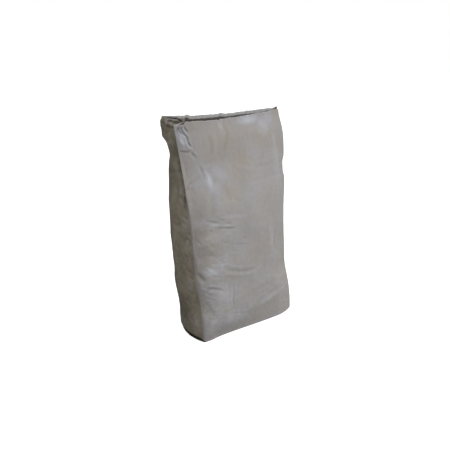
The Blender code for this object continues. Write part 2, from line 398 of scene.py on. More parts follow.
@dataclass(frozen=True)
class Fold:
    """One fold or crease in the paper."""

    side: Side
    kind: FoldKind
    depth: float
    width: float
    route: tuple[tuple[float, float], ...]
    taper: float = 0.3
    step: float = 0.006
    margin: float = 0.010

    def path(self) -> Grid:
        """Draws the route as a smooth line of short steps.

        Returns:
            The points of the line, each its across and its height.
        """
        knots = np.array(self.route, float)
        far = np.append(0, np.cumsum(np.linalg.norm(np.diff(knots, axis=0), axis=1)))
        count = max(3, int(far[-1] / self.step) + 1)
        return smooth_rows(far, knots.T, np.linspace(0, far[-1], count)).T

    def height(self, across: Grid, z: Grid) -> Grid:
        """Finds how far the fold moves the paper outwards.

        Args:
            across: How far across the side each point lies.
            z: How high each point lies.

        Returns:
            The move of each point.
        """
        line = self.path()
        start, step = line[:-1], np.diff(line, axis=0)
        apart = np.stack([across, z], -1)[..., None, :] - start
        share = np.clip((apart * step).sum(-1) / (step**2).sum(1), 0, 1)
        gap = apart - share[..., None] * step
        distance = np.sqrt((gap**2).sum(-1))
        near = distance.argmin(-1)[..., None]
        turn = step[:, 0] * gap[..., 1] - step[:, 1] * gap[..., 0]
        distance, turn, share = (
            np.take_along_axis(each, near, -1)[..., 0] for each in (distance, turn, share)
        )
        away = distance / self.width
        along = (near[..., 0] + share) / len(step)
        fade = ease(np.minimum(along, 1 - along) / self.taper)
        if self.kind is FoldKind.VALLEY:
            shape = 0.30 * np.exp(-((away - 2.4) ** 2)) - np.exp(-away * (0.5 + 0.5 * away))
        elif self.kind is FoldKind.RIDGE:
            shape = np.exp(-away * (0.45 + 0.55 * away))
        else:
            shape = np.tanh(away / 0.4) * np.sign(turn) * np.exp(-away / 1.6)
        return self.depth * fade * shape

    def press(self, sheet: Unrolled, relief: Grid) -> None:
        """Adds the fold to the relief of the whole skin, which is changed in place.

        Args:
            sheet: The unrolled skin.
            relief: The relief, rows by columns.
        """
        (least_s, least_z), (most_s, most_z) = np.min(self.route, 0), np.max(self.route, 0)
        reach = 5 * self.width
        rows = np.flatnonzero((sheet.z.max(1) > least_z - reach) & (sheet.z.min(1) < most_z + reach))
        if not len(rows):
            return
        rows = slice(rows[0], rows[-1] + 1)
        across = sheet.across(self.side)[rows]
        near = (across > least_s - reach) & (across < most_s + reach)
        if near.any():
            kept = sheet.within(self.side, self.margin)[rows][near]
            relief[rows][near] += kept * self.height(across[near], sheet.z[rows][near])


@dataclass(frozen=True)
class Facets:
    """The flat facets that crumpled paper breaks into, as a mesh of random triangles."""

    spacing: float
    height: float
    flatness: float
    seed: int
    spread: float = 0.48
    dropped: float = 0.18

    def over(self, girth: float, s: Grid, z: Grid) -> Grid:
        """Lays the facets over a closed sheet.

        Args:
            girth: The sheet's way round, after which the facets repeat.
            s: The columns' places round it, rising.
            z: The rows' heights, rising.

        Returns:
            The relief, rows by columns.
        """
        random = np.random.default_rng(self.seed)
        wide, high = self.spacing * math.sqrt(self.flatness), self.spacing / math.sqrt(self.flatness)
        size = (int(z[-1] / high) + 3, int(girth / wide))
        rows, columns = np.indices(size)
        moved = random.uniform(-self.spread, self.spread, (2, *size))
        corner_s = (columns + 0.5 * (rows % 2) + moved[0]) * girth / size[1]
        raised = random.normal(0, 0.6, size).clip(-1.5, 1.5) * self.height
        kept = random.random(size) > self.dropped
        points = np.stack([corner_s, (rows - 1 + moved[1]) * high, raised], -1)[kept]
        points = np.concatenate([points + [turn * girth, 0, 0] for turn in (-1, 0, 1)])
        points = points[(points[:, 0] > -2 * wide) & (points[:, 0] < girth + 2 * wide)]
        found = geometry.delaunay_2d_cdt([Vector(p[:2]) for p in points], [], [], 0, 1e-7)
        relief = np.zeros((len(z), len(s)))
        for face in found[2]:
            corners = points[[found[3][v][0] for v in face]]
            (ax, az, a), (bx, bz, b), (cx, cz, c) = corners
            c0, c1 = np.searchsorted(s, [min(ax, bx, cx), max(ax, bx, cx)])
            r0, r1 = np.searchsorted(z, [min(az, bz, cz), max(az, bz, cz)])
            area = (bx - ax) * (cz - az) - (cx - ax) * (bz - az)
            if c0 == c1 or r0 == r1 or abs(area) < 1e-12:
                continue
            ps, pz = s[None, c0:c1] - ax, z[r0:r1, None] - az
            second = (ps * (cz - az) - pz * (cx - ax)) / area
            third = (pz * (bx - ax) - ps * (bz - az)) / area
            first = 1 - second - third
            inside = (first >= -1e-9) & (second >= -1e-9) & (third >= -1e-9)
            relief[r0:r1, c0:c1][inside] = (first * a + second * b + third * c)[inside]
        return relief


@dataclass(frozen=True)
class Swell:
    """The long soft lumps of the settled clay behind the paper."""

    longest: float
    shortest: float
    height: float
    waves: int
    seed: int

    def over(self, girth: float, s: Grid, z: Grid) -> Grid:
        """Lays the lumps over a closed sheet.

        Args:
            girth: The sheet's way round.
            s: The columns' places round it.
            z: The rows' heights.

        Returns:
            The relief, rows by columns.
        """
        random = np.random.default_rng(self.seed)
        relief = np.zeros((len(z), len(s)))
        for _ in range(self.waves):
            length = math.exp(random.uniform(math.log(self.shortest), math.log(self.longest)))
            turn = random.uniform(0, math.pi)
            phase = random.uniform(0, 2 * math.pi)
            times = round(girth * math.cos(turn) / length)
            turns = times * s[None] / girth + math.sin(turn) * z[:, None] / length
            relief += np.cos(2 * math.pi * turns + phase) * length / self.longest
        return relief * self.height / (2 * relief.std())


@dataclass(frozen=True)
class ScatteredCreases:
    """Small creases that handling has left all over one side."""

    side: Side
    count: int
    length: tuple[float, float]
    depth: float
    steepness: float
    box: tuple[tuple[float, float], tuple[float, float]]
    seed: int
    width: tuple[float, float] = (0.0026, 0.0055)

    def folds(self) -> list[Fold]:
        """Draws the creases.

        Returns:
            The creases, each a fold.
        """
        random = np.random.default_rng(self.seed)
        kinds = [FoldKind.VALLEY, FoldKind.VALLEY, FoldKind.RIDGE, FoldKind.STEP]
        made = []
        for _ in range(self.count):
            middle = np.array([random.uniform(*ends) for ends in zip(*self.box)])
            long = random.uniform(*self.length) * random.uniform(0.5, 1.0)
            turn = math.radians(random.normal(0, self.steepness / 1.6))
            ahead = np.array([math.cos(turn), math.sin(turn)])
            bend = random.normal(0, 0.10) * long
            first, second = np.outer(bend + random.normal(0, 0.05, 2) * long, [-ahead[1], ahead[0]])
            start, end = middle - ahead * long / 2, middle + ahead * long / 2
            inner = [middle - ahead * long / 6 + first, middle + ahead * long / 6 + second]
            kind = random.choice(kinds)
            deep = self.depth * random.uniform(0.25, 1.0) ** 1.5
            wide = random.uniform(*self.width)
            made.append(Fold(self.side, kind, deep, wide, (start, *inner, end), 0.45))
        return made


@dataclass(frozen=True)
class Patch:
    """A soft-edged patch of dust, uncovered paper, stain, painted shade, painted shadow or painted
    highlight, turned by some degrees.
    """

    side: Side
    across: float
    height: float
    wide: float
    high: float
    strength: float = 1.0
    turn: float = 0.0
    margin: float = 0.006

    def over(self, sheet: Unrolled) -> Grid:
        """Reads how strong the patch is at every point of the skin.

        Args:
            sheet: The unrolled skin.

        Returns:
            The strengths.
        """
        a, h = sheet.across(self.side) - self.across, sheet.z - self.height
        c, s = math.cos(math.radians(self.turn)), math.sin(math.radians(self.turn))
        away = ((a * c + h * s) / self.wide) ** 2 + ((h * c - a * s) / self.high) ** 2
        return self.strength * np.exp(-(away**1.3)) * sheet.within(self.side, self.margin)


def blurred(grid: Grid, times: int) -> Grid:
    """Softens a closed grid.

    Args:
        grid: Rows by columns, or rows by columns by 3; the columns close round.
        times: How many times each value is shared with its neighbours.

    Returns:
        The softened grid.
    """
    for _ in range(times):
        grid = (np.roll(grid, 1, axis=1) + np.roll(grid, -1, axis=1) + 2 * grid) / 4
        padded = np.concatenate([grid[:1], grid, grid[-1:]])
        grid = (padded[:-2] + padded[2:] + 2 * grid) / 4
    return grid


def outward(points: Grid) -> Grid:
    """Finds the outward directions of a closed grid of points.

    Args:
        points: The points, rows by columns by 3.

    Returns:
        The normals, of the same shape.
    """
    along = np.roll(points, -1, axis=1) - np.roll(points, 1, axis=1)
    normal = np.cross(along, np.gradient(points, axis=0))
    return normal / np.maximum(np.linalg.norm(normal, axis=2, keepdims=True), 1e-12)


FRONT, RIGHT, BACK, LEFT = Side
VALLEY, RIDGE, STEP = FoldKind


def folds(side: Side, kind: FoldKind, *rows: tuple[float, ...]) -> tuple[Fold, ...]:
    """Makes one side's folds of one kind.

    Args:
        side: The side.
        kind: The kind.
        *rows: For each fold its depth and its width, then the across and the height of each point
            of its route, all in millimetres.

    Returns:
        The folds.
    """
    scaled = [[value / 1000 for value in row] for row in rows]
    return tuple(Fold(side, kind, d, w, tuple(zip(r[::2], r[1::2]))) for d, w, *r in scaled)


def patches(side: Side, *rows: tuple[float, ...]) -> tuple[Patch, ...]:
    """Makes one side's patches.

    Args:
        side: The side.
        *rows: For each patch its across, its height and its reach across and up, in millimetres,
            then its strength and, where it is turned, its turn.

    Returns:
        The patches.
    """
    return tuple(Patch(side, *(value / 1000 for value in row[:4]), *row[4:]) for row in rows)


@dataclass
class PaperRelief:
    """Everything that stands in or out on the sack's outside."""

    lumps: Swell = Swell(0.26, 0.09, 0.0030, 60, 11)
    facets: tuple[Facets, ...] = (
        Facets(0.070, 0.0014, 1.5, 21), Facets(0.031, 0.0006, 1.3, 22), Facets(0.016, 0.00022, 1.2, 23)
    )
    calm_across: Profile = curve(
        0, 0.7, 0.04, 1.3, 0.14, 1.1, 0.3, 0.65, 0.6, 0.42, 0.85, 0.5, 1, 0.6, 1.25, 1.5, 1.75, 1.5,
        2, 0.8, 2.3, 1.2, 2.7, 1.2, 3, 0.8, 3.25, 1.7, 3.75, 1.9, 4, 0.7
    )
    calm_up: Profile = curve(
        0, 0, 0.012, 0.1, 0.06, 0.8, 0.2, 1.2, 0.4, 1.2, 0.6, 0.8, 0.85, 0.6, 0.96, 0.6, 1, 0.45
    )
    stiff_above: float = 0.70
    stiff_fade: float = 0.1
    stiff_reach: float = 0.013
    stiff_share: float = 0.12
    flat_foot: tuple[float, float] = (0.004, 0.016)
    drawn: tuple[Fold, ...] = (
        *folds(FRONT, RIDGE,
            (1.5, 8.5, 72, 556, 79, 526, 85, 498), (1.1, 2.4, 66, 388, 88, 383, 112, 379, 150, 369),
            (1.3, 3.4, 32, 254, 48, 238, 66, 227), (1.2, 3, 2, 198, 14, 192, 26, 184),
            (1, 2.2, 40, 194, 62, 187, 90, 172), (0.9, 3.6, 200, 62, 269, 79, 330, 96, 372, 112),
            (0.8, 2.2, 30, 118, 48, 108, 60, 112), (0.7, 4.2, 348, 650, 362, 580, 367, 509, 372, 430),
            (0.5, 4.9, 326, 362, 313, 294, 298, 236), (0.4, 7.3, 190, 560, 245, 535, 300, 528),
            (1.4, 4, 6, 660, 14, 646, 20, 634), (1.4, 3.6, 24, 646, 32, 634, 44, 624),
        ),
        *folds(FRONT, VALLEY,
            (0.5, 8, 86, 492, 78, 450, 74, 410), (1, 3.6, 56, 578, 66, 548, 70, 528),
            (1.4, 2.6, 42, 409, 66, 399, 96, 391), (1.2, 2.2, 100, 372, 124, 368, 153, 362),
            (0.8, 8, 18, 368, 40, 364, 70, 366), (0.8, 2.2, 8, 352, 18, 342, 32, 330),
            (0.7, 2.4, 140, 312, 170, 303, 198, 297), (0.7, 2.2, 126, 294, 150, 285, 174, 277),
            (1.3, 5.5, 90, 240, 141, 219, 185, 207, 232, 203), (2, 6, 3, 243, 13, 226, 27, 210),
            (1.2, 2.4, 44, 226, 64, 219, 88, 214), (1.7, 2.8, 26, 191, 50, 182, 88, 163),
            (1, 2.2, 5, 182, 22, 176, 40, 162), (0.9, 2.2, 14, 158, 34, 150, 58, 136),
            (1.3, 2.8, 126, 180, 124, 146, 116, 122, 115, 100), (0.6, 2.8, 111, 194, 104, 150, 101, 118),
            (0.5, 4.5, 205, 82, 262, 96, 320, 113), (0.9, 2.2, 28, 95, 60, 87),
            (0.9, 2.4, 110, 77, 132, 70, 158, 59), (0.8, 2.6, 168, 62, 184, 44, 196, 26),
            (0.8, 2.2, 50, 268, 66, 264, 84, 270), (0.9, 2.2, 12, 134, 30, 128, 52, 130),
            (0.5, 4.2, 342, 350, 331, 290, 318, 240), (0.8, 2.6, 146, 708, 147, 697, 150, 684),
            (0.3, 5.5, 160, 690, 168, 655, 148, 612), (0.5, 6.1, 100, 660, 108, 632, 101, 600),
            (1.8, 1.7, 12, 696, 9, 687, 7, 676), (2.2, 1.7, 16, 697, 13, 684, 23, 669),
            (2.2, 1.7, 23, 696, 20, 684, 29, 672), (2, 1.7, 29, 694, 33, 685, 39, 674),
            (2.2, 2.2, 17, 678, 28, 668, 33, 659, 33, 649, 40, 630), (1.6, 2.2, 3, 627, 19, 620, 36, 621),
            (1.4, 3, 36, 618, 43, 610, 50, 598),
        ),
        *folds(LEFT, VALLEY,
            (3.6, 5, 96, 440, 90, 474, 82, 508, 66, 540, 46, 572, 30, 604),
            (1.8, 3.4, 72, 468, 88, 452, 98, 440), (1.4, 3.8, 82, 408, 96, 399, 106, 400),
            (1.2, 5, 20, 392, 46, 384, 70, 390), (2.6, 4, 92, 358, 108, 350, 114, 334, 104, 322),
            (1.8, 5.5, 40, 330, 58, 312, 64, 290), (2, 5, 70, 262, 88, 250, 94, 232),
            (1.8, 3.8, 106, 228, 118, 220, 126, 222), (1.8, 5.6, 30, 206, 52, 196, 60, 174),
            (1.4, 4, 82, 176, 102, 164, 122, 170), (1.6, 3.8, 50, 136, 66, 128, 84, 134),
            (1.8, 3.6, 76, 80, 92, 72, 108, 76), (1.6, 7, 10, 120, 22, 90, 18, 50),
            (2.6, 2.4, 16, 706, 36, 699, 58, 696), (2.4, 2.4, 8, 690, 26, 685, 52, 682),
            (1.8, 4.5, 4, 640, 12, 660, 20, 676), (1.8, 3, 94, 352, 106, 344, 112, 330),
            (1.8, 3, 84, 300, 98, 292, 108, 280), (1.6, 3, 96, 250, 112, 244, 122, 232),
        ),
        *folds(LEFT, RIDGE,
            (1.6, 4, 56, 474, 74, 460, 92, 450), (2.2, 4.2, 98, 346, 106, 340, 108, 330),
            (1.8, 4.5, 100, 292, 112, 276, 110, 252), (1.6, 3.4, 96, 62, 108, 56, 120, 60),
            (2.2, 2.6, 12, 698, 34, 692, 60, 689), (1.5, 5, 2, 600, 14, 628, 20, 655),
            (1.6, 5, 64, 462, 52, 505, 36, 545, 20, 580), (1.6, 3, 88, 276, 102, 268, 118, 262),
        ),
        *folds(BACK, STEP, (0.45, 2.6, 178, -260, 180, 350, 177, 960)),
    )
    creases: tuple[ScatteredCreases, ...] = (
        ScatteredCreases(FRONT, 70, (0.02, 0.06), 0.0007, 50, ((0.01, 0.02), (0.14, 0.42)), 31),
        ScatteredCreases(FRONT, 46, (0.02, 0.05), 0.0008, 16, ((0.01, 0.06), (0.12, 0.42)), 36),
        ScatteredCreases(FRONT, 40, (0.02, 0.07), 0.0004, 50, ((0.12, 0.02), (0.37, 0.42)), 37),
        ScatteredCreases(FRONT, 30, (0.02, 0.07), 0.0003, 70, ((0.01, 0.42), (0.38, 0.69)), 32),
        ScatteredCreases(RIGHT, 70, (0.02, 0.07), 0.0012, 60, ((0.0, 0.03), (0.13, 0.66)), 33),
        ScatteredCreases(BACK, 110, (0.02, 0.09), 0.0013, 50, ((0.0, 0.02), (0.38, 0.68)), 34),
        ScatteredCreases(LEFT, 100, (0.015, 0.05), 0.0013, 60, ((0.0, 0.03), (0.13, 0.60)), 35),
    )

    def over(self, skin: Skin, sheet: Unrolled) -> Grid:
        """Adds everything up.

        Args:
            skin: The smooth skin.
            sheet: The same skin unrolled.

        Returns:
            How far every point stands out, rows by columns.
        """
        panel, gusset = skin.form.base_width, skin.form.base_depth
        knots = np.cumsum([0, panel, gusset, panel, gusset])
        girth = knots[-1]
        s = np.interp(skin.place, np.arange(5), knots)
        z = skin.height * skin.form.height
        lively = self.calm_up.at(skin.height)[:, None] * self.calm_across.at(skin.place)[None]
        relief = blurred(sum(each.over(girth, s, z) for each in self.facets), 1) * lively
        relief += self.lumps.over(girth, s, z) * np.minimum(1, lively)
        for group in (self.drawn, *(scattered.folds() for scattered in self.creases)):
            for fold in group:
                fold.press(sheet, relief)
        stiff = np.clip((skin.height - self.stiff_above) / self.stiff_fade, 0, 1)[:, None]
        calm = 1 - stiff * (1 - np.clip(sheet.nearest() / self.stiff_reach, self.stiff_share, 1))
        foot, fade = self.flat_foot
        return relief * calm * ease((z - foot) / fade)[:, None]


@dataclass(frozen=True)
class LipEdge:
    """The hand-cut edge round the sack's mouth, with small tags: side, across, rise and reach."""

    raggedness: float = 0.0007
    waves: tuple[int, ...] = (11, 17, 29, 43, 67, 101, 139)
    fade: float = 0.016
    tags: tuple[tuple[Side, float, float, float], ...] = (
        (BACK, 0.333, 0.0032, 0.0055), (BACK, 0.22, 0.0034, 0.005), (BACK, 0.123, 0.0026, 0.005),
        (BACK, 0.178, -0.0014, 0.02), (BACK, 0.003, 0.004, 0.009), (LEFT, 0.018, -0.0025, 0.006),
        (FRONT, 0.038, 0.0016, 0.005), (FRONT, 0.072, 0.001, 0.016), (FRONT, 0.146, -0.002, 0.004),
        (FRONT, 0.152, 0.0014, 0.0045),
    )
    step: Profile = mm(-0.068, 0, -0.05, -5, -0.01, -6, 0.03, -6, 0.0355, 0, 0.05, 0)
    seed: int = 41

    def raise_in(self, shape: Grid, sheet: Unrolled) -> None:
        """Moves the top rows up and down; the shape is changed in place.

        Args:
            shape: The sack's points, rows by columns by 3.
            sheet: The unrolled skin.
        """
        random = np.random.default_rng(self.seed)
        rise = np.zeros(shape.shape[1])
        for turns in self.waves:
            phase = random.uniform(0, 2 * math.pi)
            rise += np.cos(2 * math.pi * turns * sheet.way + phase) * random.uniform(0.3, 1) / 2
        rise = rise * self.raggedness + self.step.at(sheet.across(FRONT)[-1])
        for side, across, high, reach in self.tags:
            rise += high * np.exp(-(((sheet.across(side)[-1] - across) / reach) ** 2))
        shape[..., 2] += ease(1 - (shape[-1:, :, 2] - shape[..., 2]) / self.fade) * rise


def shown_object(name: str, data: bpy.types.ID) -> Piece:
    """Puts an object of some data in the scene, at the origin.

    Args:
        name: The object's name.
        data: Its data.

    Returns:
        The object.
    """
    made = bpy.data.objects.new(name, data)
    bpy.context.scene.collection.objects.link(made)
    return made


def new_mesh(name: str, points: Grid, faces: Grid | list, edges: list = ()) -> Mesh:
    """Makes a mesh of points and faces or edges.

    Args:
        name: The mesh's name.
        points: Its points.
        faces: Its faces.
        edges: Its loose edges.

    Returns:
        The mesh.
    """
    mesh = bpy.data.meshes.new(name)
    mesh.from_pydata(np.reshape(points, (-1, 3)).tolist(), edges, np.array(faces, int).tolist())
    return mesh


def quads(numbers: Grid) -> Grid:
    """The faces between neighbouring points of a grid, by the points' numbers."""
    low, high = numbers[:-1], numbers[1:]
    return np.stack([low[:, :-1], low[:, 1:], high[:, 1:], high[:, :-1]], -1).reshape(-1, 4)


def grid_faces(rows: int, columns: int) -> Grid:
    """The faces of a grid whose columns close round, numbered row by row."""
    numbers = np.arange(rows * columns).reshape(rows, columns)
    return quads(np.hstack([numbers, numbers[:, :1]]))


@dataclass(frozen=True)
class PaperSettling:
    """Lets the filled paper settle as a cloth with a little more paper than the form needs."""

    frames: int = 20
    slack: tuple[float, float, float] = (0.001, 0.001, 0.011)
    farthest: float = 0.0050
    gravity: float = 0.6
    cloth: tuple[tuple[str, float], ...] = (
        ("quality", 5), ("mass", 0.02), ("tension_stiffness", 40), ("compression_stiffness", 40),
        ("shear_stiffness", 20), ("bending_stiffness", 10), ("tension_damping", 12),
        ("compression_damping", 12), ("shear_damping", 12), ("bending_damping", 1),
        ("air_damping", 3), ("pin_stiffness", 1),
    )
    hold: tuple[tuple[float, ...], ...] = (
        (0, 0.02, 0.05, 0.70, 0.80, 0.97, 1), (1, 1, 0.16, 0.16, 0.10, 0.3, 0.6)
    )

    def moves(self, shape: Grid) -> Grid:
        """Runs the simulation on every second row and column.

        Args:
            shape: The paper's points, rows by columns by 3; an odd number of rows and an even
                number of columns.

        Returns:
            How far every point of the full grid settles, rows by columns by 3.
        """
        coarse = shape[::2, ::2]
        mesh = new_mesh("settling_paper", coarse, grid_faces(*coarse.shape[:2]))
        paper = shown_object("settling_paper", mesh)
        firm = np.interp(coarse[..., 2] / coarse[..., 2].max(), *self.hold)
        group = paper.vertex_groups.new(name="hold")
        for index, weight in enumerate(np.round(firm.ravel(), 2).tolist()):
            group.add([index], weight, "REPLACE")
        paper.shape_key_add(name="settled", from_mix=False)
        longer = paper.shape_key_add(name="cut_size", from_mix=False)
        cut = coarse * (1 + np.array(self.slack))
        longer.data.foreach_set("co", cut.ravel().astype(np.float32))
        longer.value = 0.0
        cloth = paper.modifiers.new("Settling", "CLOTH")
        for name, value in self.cloth:
            setattr(cloth.settings, name, value)
        cloth.settings.rest_shape_key = longer
        cloth.settings.vertex_group_mass = "hold"
        cloth.settings.effector_weights.gravity = self.gravity
        cloth.point_cache.frame_start, cloth.point_cache.frame_end = 1, self.frames
        for frame_number in range(1, self.frames + 1):
            bpy.context.scene.frame_set(frame_number)
        settled = paper.evaluated_get(bpy.context.evaluated_depsgraph_get()).data
        points = np.empty(coarse.size, np.float32)
        settled.vertices.foreach_get("co", points)
        moved = points.reshape(coarse.shape).astype(float) - coarse
        paper.modifiers.clear()
        bpy.data.objects.remove(paper)
        bpy.data.meshes.remove(mesh)
        bpy.context.scene.frame_set(1)
        length = np.linalg.norm(moved, axis=2, keepdims=True)
        moved *= np.tanh(length / self.farthest) * self.farthest / np.maximum(length, 1e-9)
        full = np.empty_like(shape)
        full[::2, ::2] = moved
        full[1::2, ::2] = (moved[:-1] + moved[1:]) / 2
        full[:, 1::2] = (full[:, ::2] + np.roll(full[:, ::2], -1, axis=1)) / 2
        LOG.info("paper settled: %.1f mm at most", 1000 * np.linalg.norm(full, axis=2).max())
        return blurred(full, 1)


@dataclass
class Cap:
    """A four-sided patch that closes a ring of the sack's columns."""

    ring: Grid
    panel: int
    gusset: int
    inner: Grid = field(init=False)
    place: tuple[Grid, Grid] = field(init=False)

    def __post_init__(self) -> None:
        """Spans the ring."""
        front, right, back, left = self._edges(self.ring)
        v, u = np.indices((self.gusset + 1, self.panel + 1))[:, 1:-1, 1:-1]
        u, v = u / self.panel, v / self.gusset
        self.place = (u, v)
        u, v = u[..., None], v[..., None]
        sides = (1 - v) * front[1:-1] + v * back[1:-1]
        sides = sides + (1 - u) * left[1:-1, None] + u * right[1:-1, None]
        low = (1 - u) * front[0] + u * front[-1]
        self.inner = sides - (1 - v) * low - v * ((1 - u) * back[0] + u * back[-1])

    def _edges(self, ring: Grid) -> tuple[Grid, ...]:
        """Cuts a ring of points or numbers into its four edges, all read the same way.

        Args:
            ring: The ring's points or numbers.

        Returns:
            The front, right, back and left edge.
        """
        closed = np.concatenate([ring, ring[:1]])
        p, g = self.panel, self.gusset
        cuts = closed[: p + 1], closed[p : p + g + 1], closed[p + g : 2 * p + g + 1], closed[2 * p + g :]
        return cuts[0], cuts[1], cuts[2][::-1], cuts[3][::-1]

    def faces(self, first_ring: int, first_inner: int, upward: bool) -> Grid:
        """Numbers the patch's quads.

        Args:
            first_ring: The number of the ring's first point.
            first_inner: The number of the first inner point.
            upward: Whether the patch faces up.

        Returns:
            The quads.
        """
        grid = np.empty((self.gusset + 1, self.panel + 1), int)
        grid[0], grid[:, -1], grid[-1], grid[:, 0] = self._edges(first_ring + np.arange(len(self.ring)))
        inner = grid[1:-1, 1:-1]
        inner[:] = first_inner + np.arange(inner.size).reshape(inner.shape)
        faces = quads(grid)
        return faces if upward else faces[:, ::-1]


@dataclass
class Shell:
    """Collects the points, faces and point values of one mesh."""

    points: list[Grid] = field(default_factory=list)
    faces: list[tuple[Grid, int]] = field(default_factory=list)
    values: dict[str, list[Grid]] = field(default_factory=dict)

    def add_points(self, points: Grid, values: dict[str, Grid | float]) -> int:
        """Adds points with their values.

        Args:
            points: The points.
            values: Each value by its name, one for all or one for each point.

        Returns:
            The first one's number.
        """
        first = sum(len(points) for points in self.points)
        self.points.append(points.reshape(-1, 3))
        for name, value in values.items():
            spread = np.zeros(len(self.points[-1])) + np.ravel(value)
            self.values.setdefault(name, []).append(spread)
        return first

    def add_faces(self, faces: Grid, material: int = 0) -> None:
        """Adds faces of one material."""
        self.faces.append((faces, material))

    def build(self, name: str, materials: list[Material]) -> Piece:
        """Makes the mesh and its object.

        Args:
            name: The object's name.
            materials: Its materials, by number.

        Returns:
            The object, at the origin.
        """
        mesh = bpy.data.meshes.new(name)
        faces = [face for group, _ in self.faces for face in group.tolist()]
        mesh.from_pydata(np.concatenate(self.points).tolist(), [], faces)
        numbers = np.concatenate([np.full(len(group), number) for group, number in self.faces])
        for material in materials:
            mesh.materials.append(material)
        mesh.polygons.foreach_set("material_index", numbers.astype(np.int32))
        mesh.polygons.foreach_set("use_smooth", np.ones(len(numbers), bool))
        for key, parts in self.values.items():
            attribute = mesh.attributes.new(key, "FLOAT", "POINT")
            attribute.data.foreach_set("value", np.concatenate(parts).astype(np.float32))
        mesh.update()
        LOG.info("%s: %d triangles", name, sum(len(face) - 2 for face in faces))
        return shown_object(name, mesh)


